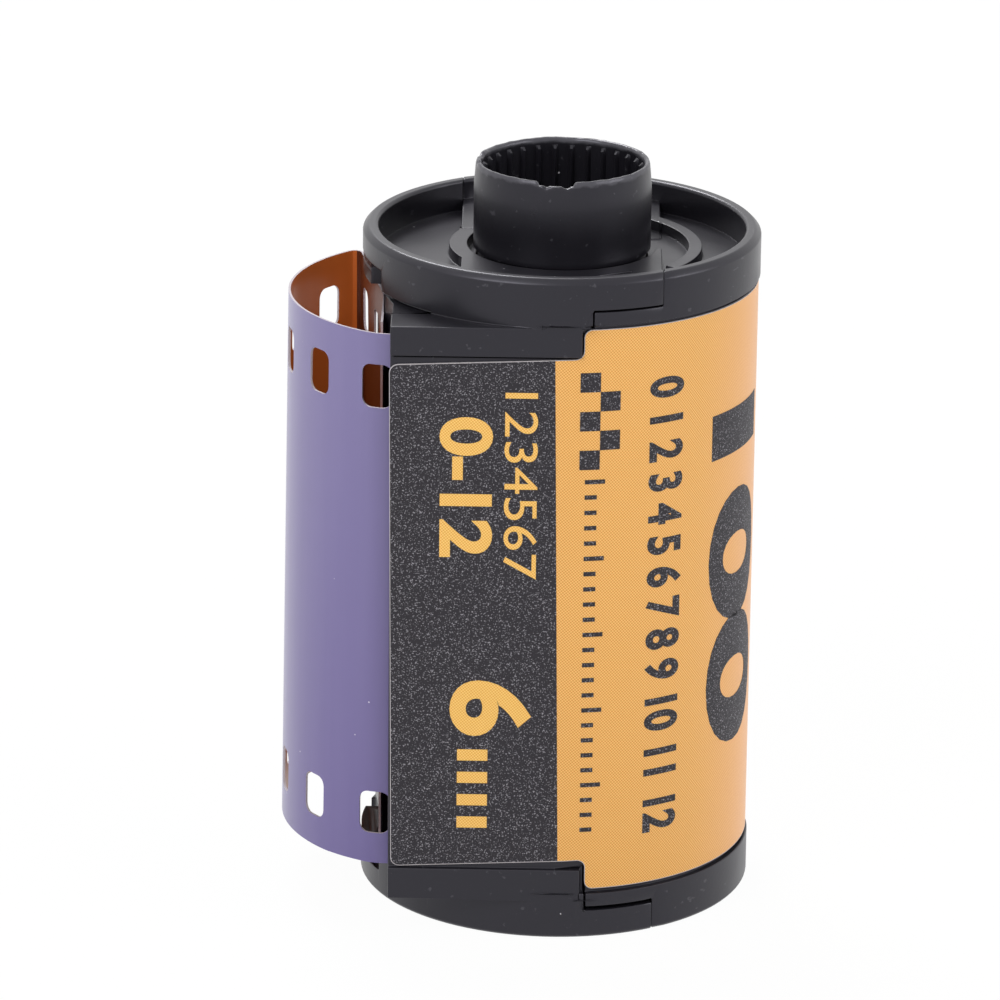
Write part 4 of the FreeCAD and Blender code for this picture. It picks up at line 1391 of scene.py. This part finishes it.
@dataclass
class Studio:
    """Pale floor, soft lamps and the camera."""

    distance: float = 390.0
    elevation: float = 18.746
    yaw: float = -0.576
    roll: float = 0.635
    aim_height: float = 24.903
    focal_px: float = 6124.524
    frame_px: float = 1000.0
    sensor_mm: float = 36.0

    def camera(self) -> None:
        """Places the camera where the photograph was taken from."""
        elevation, yaw, roll = (math.radians(angle) for angle in (self.elevation, self.yaw, self.roll))
        place = Vector((0, -self.distance * math.cos(elevation),
                        self.aim_height + self.distance * math.sin(elevation))) * MM
        ahead = Vector((math.sin(yaw) * math.cos(elevation), math.cos(yaw) * math.cos(elevation),
                        -math.sin(elevation)))
        right = ahead.cross(Vector((0, 0, 1))).normalized()
        up = right.cross(ahead)
        turned_right = right * math.cos(roll) + up * math.sin(roll)
        turned_up = up * math.cos(roll) - right * math.sin(roll)
        clear_selection()
        bpy.ops.object.camera_add()
        camera = bpy.context.object
        camera.name = "photo_camera"
        turn = Matrix((turned_right, turned_up, -ahead)).transposed()
        camera.matrix_world = Matrix.Translation(place) @ turn.to_4x4()
        camera.data.sensor_width = self.sensor_mm
        camera.data.lens = self.focal_px / self.frame_px * self.sensor_mm
        camera.data.clip_start = 0.01
        bpy.context.scene.camera = camera

    def lamp(self, name: str, place: tuple[float, float, float], size: float, power: float) -> None:
        """Adds a soft square lamp that faces the object.

        Args:
            name: the lamp's name.
            place: its place in metres.
            size: its side in metres.
            power: its power in watts.
        """
        clear_selection()
        bpy.ops.object.light_add(type="AREA", location=place)
        lamp = bpy.context.object
        lamp.name = name
        lamp.data.size = size
        lamp.data.energy = power
        aim = Vector((0, 0, 0.024)) - Vector(place)
        lamp.rotation_euler = aim.to_track_quat("-Z", "Y").to_euler()

    def floor(self) -> None:
        """Lays a pale floor that shows near white and keeps the object's shadow."""
        clear_selection()
        bpy.ops.mesh.primitive_circle_add(vertices=64, radius=3.0, fill_type="NGON")
        floor = bpy.context.object
        floor.name = "studio_floor"
        material, tree, shader = new_material("white_card")
        shader.inputs["Base Color"].default_value = linear("#f4f4f4")
        shader.inputs["Roughness"].default_value = 0.9
        seen = self.seen_rays(tree)
        glow = add_node(tree, "Emission", {"Strength": 1.0})
        share = add_node(tree, "Math", {"operation": "MULTIPLY", 1: 0.97}, {0: seen})
        blend = add_node(tree, "MixShader", {}, {0: share.outputs[0], 1: shader.outputs[0], 2: glow.outputs[0]})
        tree.links.new(blend.outputs[0], tree.nodes["Material Output"].inputs["Surface"])
        floor.data.materials.append(material)

    def seen_rays(self, tree: bpy.types.NodeTree) -> Socket:
        """Returns 1 for rays that see the backdrop directly, in a mirror or through glass."""
        rays = add_node(tree, "LightPath")
        some = add_node(tree, "Math", {"operation": "MAXIMUM"},
                        {0: rays.outputs["Is Camera Ray"], 1: rays.outputs["Is Transmission Ray"]})
        return add_node(tree, "Math", {"operation": "MAXIMUM"},
                        {0: some.outputs[0], 1: rays.outputs["Is Glossy Ray"]}).outputs[0]

    def world(self) -> None:
        """Fills the surroundings with plain white light."""
        world = bpy.data.worlds.new("white_room")
        world.use_nodes = True
        tree = world.node_tree
        strength = add_node(tree, "MapRange", {"To Min": 0.32, "To Max": 1.0}, {"Value": self.seen_rays(tree)})
        back = tree.nodes["Background"]
        back.inputs["Color"].default_value = (1, 1, 1, 1)
        tree.links.new(strength.outputs["Result"], back.inputs["Strength"])
        bpy.context.scene.world = world

    def build(self) -> None:
        """Sets up the whole studio."""
        self.camera()
        self.world()
        self.floor()
        self.lamp("key_softbox", (-0.28, -0.35, 0.42), 0.3, 1.6)
        self.lamp("side_softbox", (0.45, -0.15, 0.25), 0.3, 1.0)
        self.lamp("back_softbox", (-0.12, 0.32, 0.42), 0.2, 1.8)
        bpy.context.scene.view_settings.view_transform = "Standard"


def dress_node(node: str, finish: bpy.types.Material, slot: Slot) -> None:
    """Gives a CAD node that stays its finish.

    Args:
        node: the node's name.
        finish: its material.
        slot: the record's slot that it comes from.
    """
    piece = frame["nodes"][node]
    if not piece.material_slots:
        piece.data.materials.append(finish)
    for place in piece.material_slots:
        place.material = finish
    LOG.info("%s: kept, %s", node, slot.value)


def main() -> None:
    """Builds the cassette and its studio."""
    logging.basicConfig(level=logging.INFO, format="%(name)s %(message)s")
    Studio().build()
    shell = MouldedPolystyrene("shell_polystyrene").build()
    spool = MouldedPolystyrene("spool_polystyrene", roughness=0.3, worn_above_mm=47.15).build()
    violet = CoatedFilm("film_emulsion_violet", "#837aa8", "#685c93", 0.3, 0.2).build()
    # The amber inner face carries a painted glow for the light that comes through the film.
    amber = CoatedFilm("film_base_amber", "#c9692c", "#a05024", 0.34, 0.1, painted_glow=0.18).build()
    film_edge = CutEdge("film_cut_edge", "#b9aeb9").build()
    paper_edge = CutEdge("paper_cut_edge", "#a9a5a6").build()
    black = SpeckledInk("label_black_ink").build()
    yellow = HalftoneYellow("label_yellow_halftone").build()
    bright = HalftoneYellow("label_yellow_numbers", light="#fbcf74", dark="#e8a640").build()
    pale = CutEdge("label_plain_paper", "#efece8").build()
    Shells().build(shell)
    Spool().build(spool)
    # A darker copy of the amber finish: painted shade for the tail's inner face, which has the black shell behind it
    # and gets no light through.
    shaded_amber = CoatedFilm("film_base_amber_painted_shade", "#5b301f", "#3a1d14", 0.32, 0.1).build()
    Leader().build(violet, amber, film_edge, shaded_amber)
    label = Label()
    label.build(black, yellow, pale, paper_edge)
    Print(label).build(bright, black)
    dress_node("film_roll", violet, Slot.FILM)
    dress_node("film_tape", SpliceTape("splice_tape").build(), Slot.TAPE)
    plush = NeedledPlush("light_trap_plush").build()
    dress_node("front_felt", plush, Slot.FELT)
    dress_node("rear_felt", plush, Slot.FELT)


if __name__ == "__main__":
    main()
